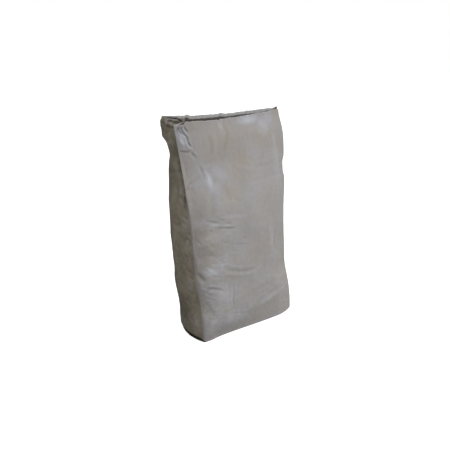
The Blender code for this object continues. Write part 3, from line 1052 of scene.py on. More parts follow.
@dataclass
class PaperMarks:
    """Where the paper is dusty, uncovered, rubbed or stained, and where shade, shadow and highlights are
    painted on it.
    """

    # Pale bluish dust; many of these patches are painted highlights: lit facets at the top corners, the
    # lit edges of folds and the lit lines in the mouth.
    chalk: tuple[Patch, ...] = (
        *patches(FRONT,
            (262, 690, 40, 13, 1), (322, 664, 26, 26, 0.55, 35), (80, 524, 13, 30, 0.95, 8),
            (98, 500, 20, 22, 0.35), (21, 660, 15, 30, 0.78), (6, 676, 6, 24, 0.4),
            (12, 648, 8, 2.5, 0.95, -60), (34, 632, 12, 3, 0.8, -35), (150, 692, 8, 30, 0.45),
            (120, 540, 60, 20, 0.3, -35), (52, 238, 24, 13, 0.6, -22), (14, 190, 13, 4, 0.7, -28),
            (80, 385, 22, 3.5, 0.6, -12), (128, 375, 22, 3, 0.5, -14), (39, 70, 16, 12, 0.55),
            (350, 690, 18, 20, 0.4), (362, 560, 12, 90, 0.32), (313, 300, 10, 55, 0.3),
            (120, 62, 50, 28, 0.4), (30, 400, 45, 14, 0.25), (280, 83, 70, 10, 0.3, 14),
            (150, 400, 60, 6, 0.3, -8), (90, 150, 40, 60, 0.2),
        ),
        *patches(BACK,
            (100, 520, 60, 30, 0.5, 20), (280, 640, 50, 20, 0.6, -12), (220, 300, 50, 50, 0.35),
            (320, 180, 30, 60, 0.4),
        ),
        *patches(RIGHT, (40, 420, 30, 50, 0.3)),
        *patches(LEFT,
            (42, 706.5, 15, 1.5, 0.9, -12), (44, 716, 22, 2, 0.7, -8), (32, 697, 6, 7, 0.45),
            (100, 699, 30, 4, 0.5), (18, 706, 4, 7, 0.4), (112, 72, 9, 8, 0.35),
        ),
    )
    warm: tuple[Patch, ...] = (
        *patches(FRONT,
            (158, 640, 45, 40, 0.7), (110, 600, 45, 30, 0.6, -15), (205, 571, 40, 30, 0.7),
            (149, 468, 30, 35, 0.75), (227, 247, 50, 35, 0.45), (265, 291, 50, 45, 0.45),
            (160, 672, 12, 40, 0.55, 10), (300, 430, 70, 90, 0.3), (250, 640, 60, 30, 0.35),
            (190, 120, 50, 30, 0.2), (330, 160, 40, 50, 0.3),
        ),
        *patches(BACK,
            (180, 420, 70, 60, 0.6), (90, 200, 60, 60, 0.5),
        ),
        # On the left side these warmer patches also lighten the paper near the front crease and along the
        # gusset fold, as painted light.
        *patches(LEFT,
            (56, 496, 11, 26, 0.7, 105), (34, 545, 8, 28, 0.6, 110), (68, 462, 14, 14, 0.8),
            (102, 404, 20, 34, 0.85), (112, 340, 16, 34, 0.9), (104, 282, 18, 20, 0.55),
            (112, 205, 16, 30, 0.35), (118, 60, 14, 24, 0.35), (122, 672, 10, 22, 0.8),
        ),
    )
    stains: tuple[Patch, ...] = (
        *patches(LEFT,
            (97, 346, 12, 10, 0.9), (104, 322, 12, 8, 0.8, -20), (110, 275, 8, 22, 0.7),
            (96, 246, 8, 14, 0.8), (114, 232, 12, 12, 0.7), (92, 300, 7, 9, 0.7), (61, 129, 10, 7, 0.6),
            (98, 70, 12, 8, 0.9), (118, 52, 9, 10, 0.7), (112, 96, 9, 12, 0.5), (114, 690, 10, 12, 0.8),
            (100, 430, 10, 6, 0.4), (22, 690, 9, 8, 0.7),
        ),
        *patches(RIGHT, (50, 300, 14, 10, 0.5)),
        *patches(BACK, (300, 90, 20, 10, 0.4)),
        *patches(FRONT,
            (12, 60, 5, 4, 0.5), (40, 62, 4, 4, 0.5), (28, 12, 6, 5, 0.6),
        ),
    )
    # Painted shade over the front, strongest near its left crease where the paper turns away from the
    # light.
    film: tuple[Patch, ...] = (
        *patches(FRONT,
            (30, 150, 70, 130, 0.46), (18, 395, 44, 70, 0.52), (250, 230, 140, 90, 0.3),
            (16, 270, 42, 70, 0.6), (50, 180, 34, 10, 0.6, -20),
        ),
    )
    # Painted shadow: shadowed lines and hollows in the folds, pleats and corners of the mouth, behind the
    # front left crease, under folds and along the left side's far edge.
    dark: tuple[Patch, ...] = (
        *patches(RIGHT, (104, 710, 12, 4.5, 0.85)),
        *patches(LEFT,
            (36, 712.5, 20, 2.4, 1.5, -12), (58, 705.5, 9, 2, 1.3, -28), (55, 700, 14, 3.5, 0.6, -8),
            (68, 698, 6, 4, 1.2), (32, 705, 8, 1.5, 0.9, 5), (25, 693, 4, 6, 0.55), (8, 703, 8, 9, 0.45),
            (1, 680, 5, 34, 0.6), (90, 476, 9, 14, 0.5), (84, 508, 12, 18, 0.55), (74, 535, 14, 16, 0.62),
            (54, 560, 13, 15, 0.6), (38, 586, 9, 16, 0.42), (30, 606, 7, 14, 0.35),
            (4, 530, 14, 110, 0.32), (4, 340, 16, 100, 0.34), (30, 92, 44, 62, 0.42),
            (8, 190, 26, 60, 0.32), (96, 346, 9, 4, 0.25), (100, 292, 9, 4, 0.25), (108, 244, 10, 4, 0.25),
        ),
        *patches(FRONT,
            (16, 236, 14, 12, 0.14), (20, 621, 17, 2.4, 0.3, -4), (9, 686, 8, 1.8, 0.5, 76),
            (14, 688, 6, 1.8, 0.5, 80), (17, 677, 7, 1.8, 0.5, -51), (21, 688, 5, 1.8, 0.45, 70),
            (24, 678, 6.5, 1.8, 0.5, -51), (34, 684, 9, 1.8, 0.42, -60), (24, 671, 7, 1.8, 0.5, -41),
            (32, 660, 9, 2, 0.5, -75), (36, 641, 10, 2, 0.4, -70), (43, 608, 11, 2.4, 0.22, -55),
            (69, 399, 26, 2.2, 0.2, -18), (126, 368, 26, 2, 0.22, -12), (14, 226, 10, 18, 0.12),
            (56, 180, 30, 2.6, 0.24, -22), (120, 124, 2.2, 24, 0.14, -10), (3, 270, 5, 26, 0.16),
        ),
    )
    # Uncovered brown paper round the sack, strongest on the sides; on the sides and near the front left
    # crease its deeper colour also stands as painted shade.
    bareness: Profile = curve(
        0, 0.22, 0.03, 0.05, 0.9, 0.05, 0.99, 0.2, 1.06, 0.75, 1.94, 0.75, 2.02, 0.15, 2.97, 0.15,
        3.05, 0.85, 3.9, 0.95, 3.97, 0.7, 4, 0.22
    )
    # A painted shadow along the foot, up to these heights, highest under the left side.
    foot_edge: Profile = mm(
        0, 7, 0.02, 2, 0.06, -2, 0.95, -2, 1.1, 4, 1.9, 4, 2.1, 1, 2.9, 1, 3, 8, 3.15, 15.5, 3.7, 16,
        3.93, 13, 4, 7
    )
    foot_dark: float = 0.96
    foot_fade: float = 0.0025
    # Painted shade that darkens the paper towards the bottom.
    grime_reach: float = 0.42
    grime_film: float = 0.43
    small_bump: float = 0.0006
    large_bump: float = 0.003
    large_share: float = 0.5
    # Ridges are lightened as rubbed dust and as painted highlight, less so within this reach of a crease.
    unworn: float = 0.014
    crease_wear: float = 0.15
    warm_cover: float = 0.75
    grime_bend: float = 0.8

    def over(self, skin: Skin, sheet: Unrolled, shape: Grid) -> dict[str, Grid]:
        """Reads the marks at every point of the skin.

        Args:
            skin: The smooth skin.
            sheet: The same skin unrolled.
            shape: The crumpled and settled points.

        Returns:
            For each mark its strength, rows by columns, from 0 to 1.
        """
        normal = outward(blurred(shape, 4))
        small = ((shape - blurred(shape, 6)) * normal).sum(2) / self.small_bump
        large = ((shape - blurred(shape, 40)) * normal).sum(2) / self.large_bump
        # Ridges get rubbed dust and painted highlight; valleys get painted shade.
        ridge = np.clip(small, 0, 1) + self.large_share * np.clip(large, 0, 1)
        valley = np.clip(-small, 0, 1) + self.large_share * np.clip(-large, 0, 1)
        wear_and_highlight = np.clip(sheet.nearest() / self.unworn, 0, 1)
        ridge = ridge * (self.crease_wear + (1 - self.crease_wear) * wear_and_highlight)
        chalk, warm, stain, film, dark = (
            np.maximum.reduce([patch.over(sheet) for patch in group])
            for group in (self.chalk, self.warm, self.stains, self.film, self.dark)
        )
        z = (skin.height * skin.form.height)[:, None]
        # Painted shade, darker towards the bottom, and a painted shadow along the foot.
        grime = self.grime_film * np.clip(1 - z / self.grime_reach, 0, 1) ** self.grime_bend
        foot = np.clip(1 - (z - self.foot_edge.at(skin.place)) / self.foot_fade, 0, 1)
        # The uncovered paper mark also stands as painted shade on the sides; the last two marks are
        # painted shade and painted shadow.
        return {
            "ridge": np.clip(ridge, 0, 1),
            "valley": np.clip(valley, 0, 1),
            "chalk": chalk,
            "warm": warm,
            "stain": stain,
            "bare": self.bareness.at(skin.place) * (1 - self.warm_cover * warm),
            "grime": np.maximum(grime, film),
            "deep": np.maximum(dark, self.foot_dark * foot),
        }


@dataclass
class PaperSack:
    """The paper sack: its crumpled outside, its cut lip, its inside and its pasted bottom."""

    form: SackForm = field(default_factory=SackForm)
    steps: SkinSteps = field(default_factory=SkinSteps)
    relief: PaperRelief = field(default_factory=PaperRelief)
    lip: LipEdge = field(default_factory=LipEdge)
    settling: PaperSettling = field(default_factory=PaperSettling)
    marks: PaperMarks = field(default_factory=PaperMarks)
    lip_wall: float = 0.0006
    upper_wall: float = 0.0015
    lower_wall: float = 0.0030
    open_to: float = 0.500
    hidden_rows: int = 38
    hidden_floor: float = 0.0016
    flap: float = 0.0005
    flap_reach: tuple[float, float] = (0.62, 0.91)
    ply_drop: float = 0.0045
    ply_fade: float = 0.0015
    ply_wander: float = 0.3
    ply_waves: tuple[tuple[float, ...], ...] = ((5, 1, 1), (13, 0.6, 2), (31, 0.3, 0))
    tightness: float = 0.35
    # Inside the mouth, the paper below this line is painted as the shade in the mouth; above it lies dust.
    dust_line: Profile = mm(
        0, 3, 1, 1, 2, 1, 2.06, 6, 2.2, 8.8, 2.45, 9.2, 2.7, 10, 2.86, 8, 2.93, 3, 3, 1.5, 3.4, 1, 3.6, 1,
        4, 3
    )
    dust_fade: float = 0.0012
    least: float = 0.0002
    shape: Grid = field(init=False)
    skin: Skin = field(init=False)
    sheet: Unrolled = field(init=False)

    def crumple(self) -> None:
        """Makes the outside's final points."""
        self.skin = Skin(self.form, self.steps)
        self.sheet = Unrolled(self.skin)
        points = self.skin.points
        raised = self.relief.over(self.skin, self.sheet)
        stiff = self.skin.height[:, None] > self.relief.stiff_above
        raised = np.where(stiff, np.maximum(raised, -self._room(points)), raised)
        shape = points + outward(blurred(points, 2)) * raised[..., None]
        shape[0, :, 2] = 0
        shape += self.settling.moves(shape)
        shape[0, :, 2] = 0
        self.lip.raise_in(shape, self.sheet)
        shape[1:, :, 2] = np.maximum(shape[1:, :, 2], self.least)
        self.shape = shape

    def build(self, outside: Material, inside: Material) -> Piece:
        """Makes the sack's mesh from its outside.

        Args:
            outside: The material of the outside.
            inside: The material of the inside.

        Returns:
            The sack, one closed thin shell.
        """
        marks = self.marks.over(self.skin, self.sheet, self.shape)
        rows, columns = self.shape.shape[:2]
        shell = Shell()
        shell.add_points(self.shape, marks)
        lean, room = blurred(outward(self.shape), 1), self._room(self.shape)
        low = int(np.argmin(abs(self.skin.height * self.form.height - self.open_to)))
        below = self.shape[-1:, :, 2] - self.shape[low:, :, 2]
        ply = np.clip((below - self._ply_edge()) / self.ply_fade, 0, 1)
        # Inside, below a line under the lip, the paper is painted as the mouth's shade.
        dusty = below - self.dust_line.at(self.skin.place)
        deep = np.clip(dusty / self.dust_fade, 0, 1)[::-1]
        wall = np.minimum(self.lip_wall + (self.upper_wall - self.lip_wall) * ply, room[low:])
        inner = (self.shape[low:] - lean[low:] * wall[..., None])[::-1]
        crown = (self.shape[-1] + inner[0]) / 2 + [0, 0, self.least]
        shell.add_points(crown, {name: 0.4 * mark[-1] for name, mark in marks.items()})
        folded = {name: mark[low:][::-1] for name, mark in marks.items()}
        first = shell.add_points(inner, folded | {"deep": deep})
        faces = grid_faces(rows + 1 + len(inner), columns)
        shell.add_faces(faces[: rows * columns])
        shell.add_faces(faces[rows * columns :], 1)
        self._line(shell, first + (len(inner) - 1) * columns, low, lean, room)
        self._close_bottom(shell)
        return shell.build("sack_skin", [outside, inside])

    def _room(self, points: Grid) -> Grid:
        """Finds how far a point may move in without meeting the wall across its crease.

        Args:
            points: The sack's points, rows by columns by 3.

        Returns:
            The way it may move, rows by columns.
        """
        room = np.full(points.shape[:2], 1.0)
        near = np.arange(1, self.steps.gusset_half * 2 - 2)
        for crease in self.sheet.first_columns():
            before, after = (crease - near) % room.shape[1], (crease + near) % room.shape[1]
            distance = np.linalg.norm(points[:, before, None] - points[:, None, after], axis=3)
            room[:, before] = np.minimum(room[:, before], distance.min(2))
            room[:, after] = np.minimum(room[:, after], distance.min(1))
        return self.tightness * room

    def _line(self, shell: Shell, last: int, low: int, lean: Grid, room: Grid) -> None:
        """Adds the inside below the clay's top, on half the columns, and its bottom.

        Args:
            shell: The sack's shell so far.
            last: The number of the first point of the inside's lowest full row.
            low: The skin's row at that height.
            lean: The skin's outward directions.
            room: How thick the wall may be at each point.
        """
        columns = self.shape.shape[1]
        chosen = np.unique(np.linspace(3, low - 3, self.hidden_rows).astype(int))[::-1]
        points, lean, room = (each[chosen][:, ::2] for each in (self.shape, lean, room))
        hidden = points - lean * np.minimum(self.lower_wall, room)[..., None]
        hidden[..., 2] = np.maximum(hidden[..., 2], self.hidden_floor)
        # The hidden inside is painted fully as shade.
        plain = dict.fromkeys(shell.values, 0.0) | {"deep": 1.0}
        first = shell.add_points(hidden, plain)
        fine, half = last + np.arange(columns), first + np.arange(columns // 2)
        middle, after = fine[1::2], np.roll(half, -1)
        joins = (fine[::2], middle, half), (middle, np.roll(fine[::2], -1), after), (middle, after, half)
        shell.add_faces(np.concatenate([np.stack(join, 1) for join in joins]), 1)
        shell.add_faces(grid_faces(len(chosen), columns // 2) + first, 1)
        cap = Cap(hidden[-1], self.steps.panel // 2, self.steps.gusset_half)
        inner = shell.add_points(cap.inner, plain)
        shell.add_faces(cap.faces(half[0] + hidden[:-1, :, 0].size, inner, upward=True), 1)

    def _ply_edge(self) -> Grid:
        """Finds how far below the lip the inner ply's cut edge lies.

        Returns:
            The ways down, one for each column.
        """
        way = 2 * math.pi * self.sheet.way
        wander = sum(high * np.cos(turns * way + phase) for turns, high, phase in self.ply_waves)
        return self.ply_drop * (1 + self.ply_wander * wander)

    def _close_bottom(self, shell: Shell) -> None:
        """Adds the bottom, with the edge of its pasted flap.

        Args:
            shell: The sack's shell so far.
        """
        cap = Cap(self.shape[0], self.steps.panel, 2 * self.steps.gusset_half)
        u, v = (abs(2 * share - 1) for share in cap.place)
        wide, long = self.flap_reach
        over = np.clip((wide - v) / 0.03, 0, 1) * np.clip((long - u - 0.05 * v) / 0.01, 0, 1)
        points = cap.inner.copy()
        points[..., 2] = self.flap * (1 - over)
        # Besides uncovered warm paper, the underside is painted darker, as the shade under the sack.
        marks = {"ridge": 0.3, "warm": 0.6, "bare": 0.7, "grime": 0.8, "deep": 0.3}
        first = shell.add_points(points, dict.fromkeys(shell.values, 0.0) | marks)
        shell.add_faces(cap.faces(0, first, upward=False))

    def lip_line(self, inward: float) -> Grid:
        """The line of the lip, so far inside its outer face, from the front left crease."""
        return self.shape[-1] - blurred(outward(self.shape), 3)[-1] * inward


@dataclass
class NodeBoard:
    """Lays nodes on one tree and joins them."""

    tree: bpy.types.NodeTree

    def give(self, wanted: Socket, value: Value) -> None:
        """Joins an input to a socket, or gives it a fixed value.

        Args:
            wanted: The input.
            value: The socket or the value.
        """
        if isinstance(value, Socket):
            self.tree.links.new(value, wanted)
        else:
            wanted.default_value = value

    def node(self, kind: str, inputs: dict | None = None, **settings: object) -> Node:
        """Adds a node.

        Args:
            kind: The node's type.
            inputs: For an input's name or number, the socket to join to it or its fixed value.
            **settings: The node's own settings.

        Returns:
            The node.
        """
        node = self.tree.nodes.new(kind)
        for name, value in settings.items():
            setattr(node, name, value)
        for key, value in (inputs or {}).items():
            self.give(node.inputs[key], value)
        return node

    def math(self, operation: str, *values: Value) -> Socket:
        """Adds a sum on single values and returns its result."""
        return self.node("ShaderNodeMath", dict(enumerate(values)), operation=operation).outputs[0]

    def vector(self, operation: str, inputs: dict) -> Socket:
        """Adds a sum on vectors and returns its result."""
        return self.node("ShaderNodeVectorMath", inputs, operation=operation).outputs[0]

    def ramp(
        self, value: Value, low: Value, high: Value, to_low: float = 0.0, to_high: float = 1.0
    ) -> Socket:
        """Maps a value smoothly from one range to another and returns it."""
        inputs = {"Value": value, "From Min": low, "From Max": high, "To Min": to_low, "To Max": to_high}
        return self.node("ShaderNodeMapRange", inputs, interpolation_type="SMOOTHSTEP").outputs[0]

    def mix(self, share: Value, first: Value, second: Value) -> Socket:
        """Mixes two colours and returns the result."""
        return self.node("ShaderNodeMix", {0: share, 6: first, 7: second}, data_type="RGBA").outputs[2]

    def noise(self, where: Value, scale: Value, detail: float = 2.0, rough: float = 0.5) -> Socket:
        """Adds a noise and returns its value, about 0.5 on average."""
        inputs = {"Vector": where, "Scale": scale, "Detail": detail, "Roughness": rough}
        return self.node("ShaderNodeTexNoise", inputs).outputs[0]


FLOAT, COLOUR, VECTOR = "NodeSocketFloat", "NodeSocketColor", "NodeSocketVector"
WHOLE, GEOMETRY, MATERIAL = "NodeSocketInt", "NodeSocketGeometry", "NodeSocketMaterial"


def new_group(
    name: str,
    kind: str,
    inputs: dict[str, str],
    outputs: dict[str, str],
    lay: Callable[[NodeBoard, Outputs], dict[str, Socket]],
) -> bpy.types.NodeTree:
    """Builds a node group.

    Args:
        name: Its name.
        kind: The type of its tree.
        inputs: The type of each of its inputs by name.
        outputs: The same for its outputs.
        lay: What lays its nodes, from its board and its inputs, and names a socket for each output.

    Returns:
        Its tree.
    """
    tree = bpy.data.node_groups.new(name, kind)
    for way, sockets in (("INPUT", inputs), ("OUTPUT", outputs)):
        for key, socket in sockets.items():
            tree.interface.new_socket(key, in_out=way, socket_type=socket)
    board = NodeBoard(tree)
    board.node("NodeGroupOutput", lay(board, board.node("NodeGroupInput").outputs))
    return tree


class SharedEffect:
    """A shader effect that several materials use, built once as a node group."""

    name = ""
    inputs: dict[str, str] = {}
    outputs: dict[str, str] = {}
    built: dict[str, bpy.types.NodeTree] = {}

    def tree(self) -> bpy.types.NodeTree:
        """Gives the effect's node group, and builds it the first time.

        Returns:
            The group's tree.
        """
        if self.name not in self.built:
            made = new_group(self.name, "ShaderNodeTree", self.inputs, self.outputs, self.lay)
            self.built[self.name] = made
        return self.built[self.name]

    def lay(self, board: NodeBoard, given: Outputs) -> dict[str, Socket]:
        """Lays the effect's nodes and names the socket for each output."""
        raise NotImplementedError


class FibreGrain(SharedEffect):
    """The felted fibres of paper, and the fine grain of clay: long flecks in two directions."""

    name = "fibre_grain"
    inputs = {"Place": VECTOR, "Scale": FLOAT, "Stretch": FLOAT}
    outputs = {"Height": FLOAT, "Fleck": FLOAT}

    def lay(self, board: NodeBoard, given: Outputs) -> dict[str, Socket]:
        """Lays two stretched noises over each other, and flecks where both are high.

        Args:
            board: The board of its tree.
            given: The tree's inputs.

        Returns:
            A socket for each output.
        """
        thin = board.math("DIVIDE", 1.0, given["Stretch"])
        layers = []
        for shape in ({0: 1.0, 1: 1.0, 2: thin}, {0: thin, 1: thin, 2: 1.0}):
            stretch = board.node("ShaderNodeCombineXYZ", shape).outputs[0]
            place = board.vector("MULTIPLY", {0: given["Place"], 1: stretch})
            layers.append(board.noise(place, given["Scale"], 3.0, 0.6))
        height = board.math("MULTIPLY", board.math("ADD", *layers), 0.5)
        return {"Height": height, "Fleck": board.ramp(board.math("MAXIMUM", *layers), 0.66, 0.78)}


class Mottle(SharedEffect):
    """Two colours that run into each other in cloudy blotches of two sizes."""

    name = "mottle"
    inputs = {
        "Place": VECTOR, "First": COLOUR, "Second": COLOUR, "Scale": FLOAT, "Balance": FLOAT,
        "Softness": FLOAT,
    }
    outputs = {"Color": COLOUR, "Mask": FLOAT}

    def lay(self, board: NodeBoard, given: Outputs) -> dict[str, Socket]:
        """Lays a wide and a narrow cloud and cuts their sum softly at the balance.

        Args:
            board: The board of its tree.
            given: The tree's inputs.

        Returns:
            A socket for each output.
        """
        wide = board.noise(given["Place"], given["Scale"], 3.0, 0.55)
        narrow = board.noise(given["Place"], board.math("MULTIPLY", given["Scale"], 4.3), 3.0, 0.6)
        cloud = board.math("MULTIPLY_ADD", narrow, 0.35, board.math("MULTIPLY", wide, 0.65))
        ends = (board.math(sign, given["Balance"], given["Softness"]) for sign in ("SUBTRACT", "ADD"))
        mask = board.ramp(cloud, *ends)
        return {"Color": board.mix(mask, given["First"], given["Second"]), "Mask": mask}


class DustFilm(SharedEffect):
    """Dry dust, painted shade or painted highlight over a surface, thick where its cover is high and
    broken up where it is thin.
    """

    name = "dust_film"
    inputs = {
        "Place": VECTOR, "Surface": COLOUR, "Dust": COLOUR, "Cover": FLOAT, "Scale": FLOAT,
        "Break up": FLOAT,
    }
    outputs = {"Color": COLOUR, "Mask": FLOAT}

    def lay(self, board: NodeBoard, given: Outputs) -> dict[str, Socket]:
        """Lays clouds and fine grains, and adds the cover to them.

        Args:
            board: The board of its tree.
            given: The tree's inputs.

        Returns:
            A socket for each output.
        """
        cloud = board.noise(given["Place"], given["Scale"], 5.0, 0.65)
        grains = board.noise(given["Place"], board.math("MULTIPLY", given["Scale"], 14.0), 2.0, 0.6)
        rough = board.math("MULTIPLY_ADD", grains, 0.4, board.math("MULTIPLY", cloud, 0.6))
        uneven = board.math("MULTIPLY", board.math("SUBTRACT", rough, 0.5), 4.0)
        broken = board.math("MULTIPLY", uneven, given["Break up"])
        cover = given["Cover"]
        edge = board.math("MULTIPLY", cover, board.math("SUBTRACT", 1.0, cover))
        mask = board.math("MULTIPLY_ADD", board.math("MULTIPLY", edge, 4.0), broken, cover)
        mask = board.node("ShaderNodeClamp", {"Value": mask}).outputs[0]
        return {"Color": board.mix(mask, given["Surface"], given["Dust"]), "Mask": mask}


class CrumpleGrain(SharedEffect):
    """The finest crumples of handled paper, and the cracks of dry clay, as a height."""

    name = "crumple_grain"
    inputs = {"Place": VECTOR, "Scale": FLOAT}
    outputs = {"Height": FLOAT}

    def lay(self, board: NodeBoard, given: Outputs) -> dict[str, Socket]:
        """Lays small flat facets by two sets of cells, their borders bent by a noise.

        Args:
            board: The board of its tree.
            given: The tree's inputs.

        Returns:
            A socket for each output.
        """
        cloud = {"Vector": given["Place"], "Scale": given["Scale"], "Detail": 1.0}
        bend = board.node("ShaderNodeTexNoise", cloud).outputs["Color"]
        nudge = board.vector("SUBTRACT", {0: bend, 1: (0.5, 0.5, 0.5)})
        moved = board.vector("SCALE", {0: nudge, "Scale": board.math("DIVIDE", 0.5, given["Scale"])})
        place = board.vector("ADD", {0: given["Place"], 1: moved})
        wide, narrow = (
            board.node(
                "ShaderNodeTexVoronoi",
                {"Vector": place, "Scale": board.math("MULTIPLY", given["Scale"], times)},
            ).outputs["Distance"]
            for times in (1.0, 2.3)
        )
        return {"Height": board.math("MULTIPLY_ADD", narrow, 0.4, wide)}


FIBRES, MOTTLE, DUST, CRUMPLES = FibreGrain(), Mottle(), DustFilm(), CrumpleGrain()


class Finish:
    """A material under way: its board, its shader and the place that its effects are laid by."""

    def __init__(self, name: str) -> None:
        """Starts the material.

        Args:
            name: The material's name.
        """
        self.material = bpy.data.materials.new(name)
        self.material.use_nodes = True
        self.board = NodeBoard(self.material.node_tree)
        self.shader = next(n for n in self.board.tree.nodes if n.type == "BSDF_PRINCIPLED")
        self.place = self.board.node("ShaderNodeTexCoord").outputs["Object"]

    def lay(self, effect: SharedEffect, *values: Value) -> Outputs:
        """Lays a shared effect by the place, with its other inputs in order; returns its outputs."""
        inputs = dict(enumerate((self.place, *values)))
        return self.board.node("ShaderNodeGroup", inputs, node_tree=effect.tree()).outputs

    def film(self, layer: Outputs, dust: Value, cover: Value, scale: float, broken: float) -> Outputs:
        """Lays a film of dust, painted shade or painted highlight over a layer; returns its outputs."""
        return self.lay(DUST, layer["Color"], dust, cover, scale, broken)

    def mark(self, name: str, strength: float) -> Socket:
        """Reads a mark that the mesh holds at its points, times a strength."""
        read = self.board.node("ShaderNodeAttribute", attribute_name=name).outputs["Fac"]
        return self.board.math("MULTIPLY", read, strength)

    def give(self, values: dict) -> None:
        """Gives the shader's inputs their sockets or fixed values."""
        for name, value in values.items():
            self.board.give(self.shader.inputs[name], value)

    def bump(self, heights: list[tuple[Socket, float]], deep: float) -> None:
        """Adds up heights as the shader's bump.

        Args:
            heights: For each height its socket and its share.
            deep: How deep a height of 1 is.
        """
        total = 0.0
        for socket, share in heights:
            total = self.board.math("MULTIPLY_ADD", socket, share, total)
        inputs = {"Strength": 1.0, "Distance": deep, "Height": total}
        self.give({"Normal": self.board.node("ShaderNodeBump", inputs).outputs[0]})

    def finish(self, colour: Value, mask: Value, rough: tuple[float, float], shine: float) -> Material:
        """Gives the shader its looks.

        Args:
            colour: The colour.
            mask: What leads the roughness from its one end to its other.
            rough: The two ends.
            shine: The shine.

        Returns:
            The material.
        """
        roughness = self.board.ramp(mask, 0.0, 1.0, *rough)
        fixed = {"Specular IOR Level": shine, "IOR": 1.45}
        self.give({"Base Color": colour, "Roughness": roughness} | fixed)
        return self.material


@dataclass(frozen=True)
class DustyPaper:
    """Grey-beige sack paper under a film of clay dust, with painted shade low down, in its creases and on
    its sides, painted shadow in its folds and painted highlights on its ridges and lit patches.
    """

    grey: Colour = paint(149, 147, 149)
    beige: Colour = paint(150, 144, 135)
    # Uncovered paper; on the sides and near the front left crease it also stands as painted shade. The
    # deeper one also colours the fibre flecks.
    bare: Colour = paint(136, 129, 109)
    bare_dark: Colour = paint(116, 109, 91)
    # Pale bluish dust, also the colour of painted highlights.
    chalk: Colour = paint(170, 173, 182)
    shade: Colour = paint(112, 108, 104)
    stain: Colour = paint(131, 110, 98)
    # The colour of painted shadow in folds, hollows and along the foot.
    pocket: Colour = paint(33, 31, 28)
    rough: tuple[float, float] = (0.84, 0.97)
    shine: float = 0.25
    bump: float = 0.0005

    def material(self) -> Material:
        """Builds the material.

        Returns:
            The material.
        """
        paper = Finish("dusty_paper")
        board = paper.board
        fibres = paper.lay(FIBRES, 1100.0, 5.0)
        crumples = paper.lay(CRUMPLES, 62.0)
        layer = paper.lay(MOTTLE, self.grey, self.beige, 9.0, 0.60, 0.16)
        layer = paper.film(layer, self.beige, paper.mark("warm", 0.95), 28.0, 0.30)
        brown = paper.lay(MOTTLE, self.bare, self.bare_dark, 26.0, 0.52, 0.12)["Color"]
        layer = paper.film(layer, brown, paper.mark("bare", 1.0), 34.0, 0.30)
        # Painted shade in the valleys and towards the bottom.
        shade_cover = board.math("MAXIMUM", paper.mark("valley", 0.42), paper.mark("grime", 0.8))
        layer = paper.film(layer, self.shade, shade_cover, 90.0, 0.25)
        layer = paper.film(layer, self.stain, paper.mark("stain", 0.70), 110.0, 0.40)
        # Pale dust on ridges, as wear and as painted highlight, less where the paper is uncovered.
        thin = board.math("SUBTRACT", 1.0, paper.mark("bare", 0.6))
        wear_and_highlight = board.math("MULTIPLY", paper.mark("ridge", 0.24), thin)
        cover = board.math("MAXIMUM", paper.mark("chalk", 0.90), wear_and_highlight)
        layer = paper.film(layer, self.chalk, cover, 48.0, 0.45)
        flecks = board.math("MULTIPLY", fibres["Fleck"], 0.10)
        flecked = board.mix(flecks, layer["Color"], self.bare_dark)
        # Painted shadow.
        pocket = board.mix(paper.mark("deep", 1.0), flecked, self.pocket)
        paper.bump([(fibres["Height"], 0.15), (crumples["Height"], 0.6)], self.bump)
        return paper.finish(pocket, layer["Mask"], self.rough, self.shine)


@dataclass(frozen=True)
class InnerPaper:
    """The brown inner ply of the sack, with clay dust caught on it; its deep brown, below a line under the
    lip, stands as the painted shade inside the mouth.
    """

    # Both browns are deep enough to stand as the painted shade inside the mouth.
    brown: Colour = paint(68, 62, 55)
    dark: Colour = paint(52, 47, 41)
    dust: Colour = paint(159, 158, 158)
    dusty_below: tuple[float, float] = (0.62, 0.535)
    rough: tuple[float, float] = (0.80, 0.96)
    shine: float = 0.25
    bump: float = 0.0008

    def material(self) -> Material:
        """Builds the material.

        Returns:
            The material.
        """
        paper = Finish("inner_paper")
        board = paper.board
        fibres = paper.lay(FIBRES, 1000.0, 6.0)
        crumples = paper.lay(CRUMPLES, 55.0)
        ply = paper.lay(MOTTLE, self.brown, self.dark, 22.0, 0.55, 0.12)
        height = board.node("ShaderNodeSeparateXYZ", {0: paper.place}).outputs[2]
        low = board.ramp(height, *self.dusty_below, 0.12, 0.85)
        # Dust lies low down and above the painted shade line; below that line the brown ply shows as
        # painted shade.
        cover = board.math("MAXIMUM", low, board.math("SUBTRACT", 1.0, paper.mark("deep", 1.0)))
        dusty = paper.film(ply, self.dust, cover, 70.0, 0.35)
        paper.bump([(fibres["Height"], 0.25), (crumples["Height"], 1.0)], self.bump)
        return paper.finish(dusty["Color"], dusty["Mask"], self.rough, self.shine)


@dataclass(frozen=True)
class FireClay:
    """Dry ground refractory clay: pale beige powder with darker and whiter grains."""

    pale: Colour = paint(181, 170, 152)
    warm: Colour = paint(164, 148, 126)
    grit: Colour = paint(120, 104, 86)
    fines: Colour = paint(203, 196, 184)
    rough: tuple[float, float] = (0.90, 0.99)
    shine: float = 0.2
    bump: float = 0.0012

    def material(self) -> Material:
        """Builds the material.

        Returns:
            The material.
        """
        clay = Finish("fire_clay")
        grain = clay.lay(FIBRES, 700.0, 1.0)
        cracks = clay.lay(CRUMPLES, 120.0)["Height"]
        powder = clay.lay(MOTTLE, self.pale, self.warm, 30.0, 0.52, 0.12)
        cover = clay.board.ramp(cracks, 0.25, 0.75, 0.05, 0.55)
        dusty = clay.film(powder, self.fines, cover, 85.0, 0.50)
        grit = clay.board.math("MULTIPLY", grain["Fleck"], 0.7)
        gritty = clay.board.mix(grit, dusty["Color"], self.grit)
        clay.bump([(grain["Height"], 1.0), (cracks, 0.5)], self.bump)
        return clay.finish(gritty, dusty["Mask"], self.rough, self.shine)


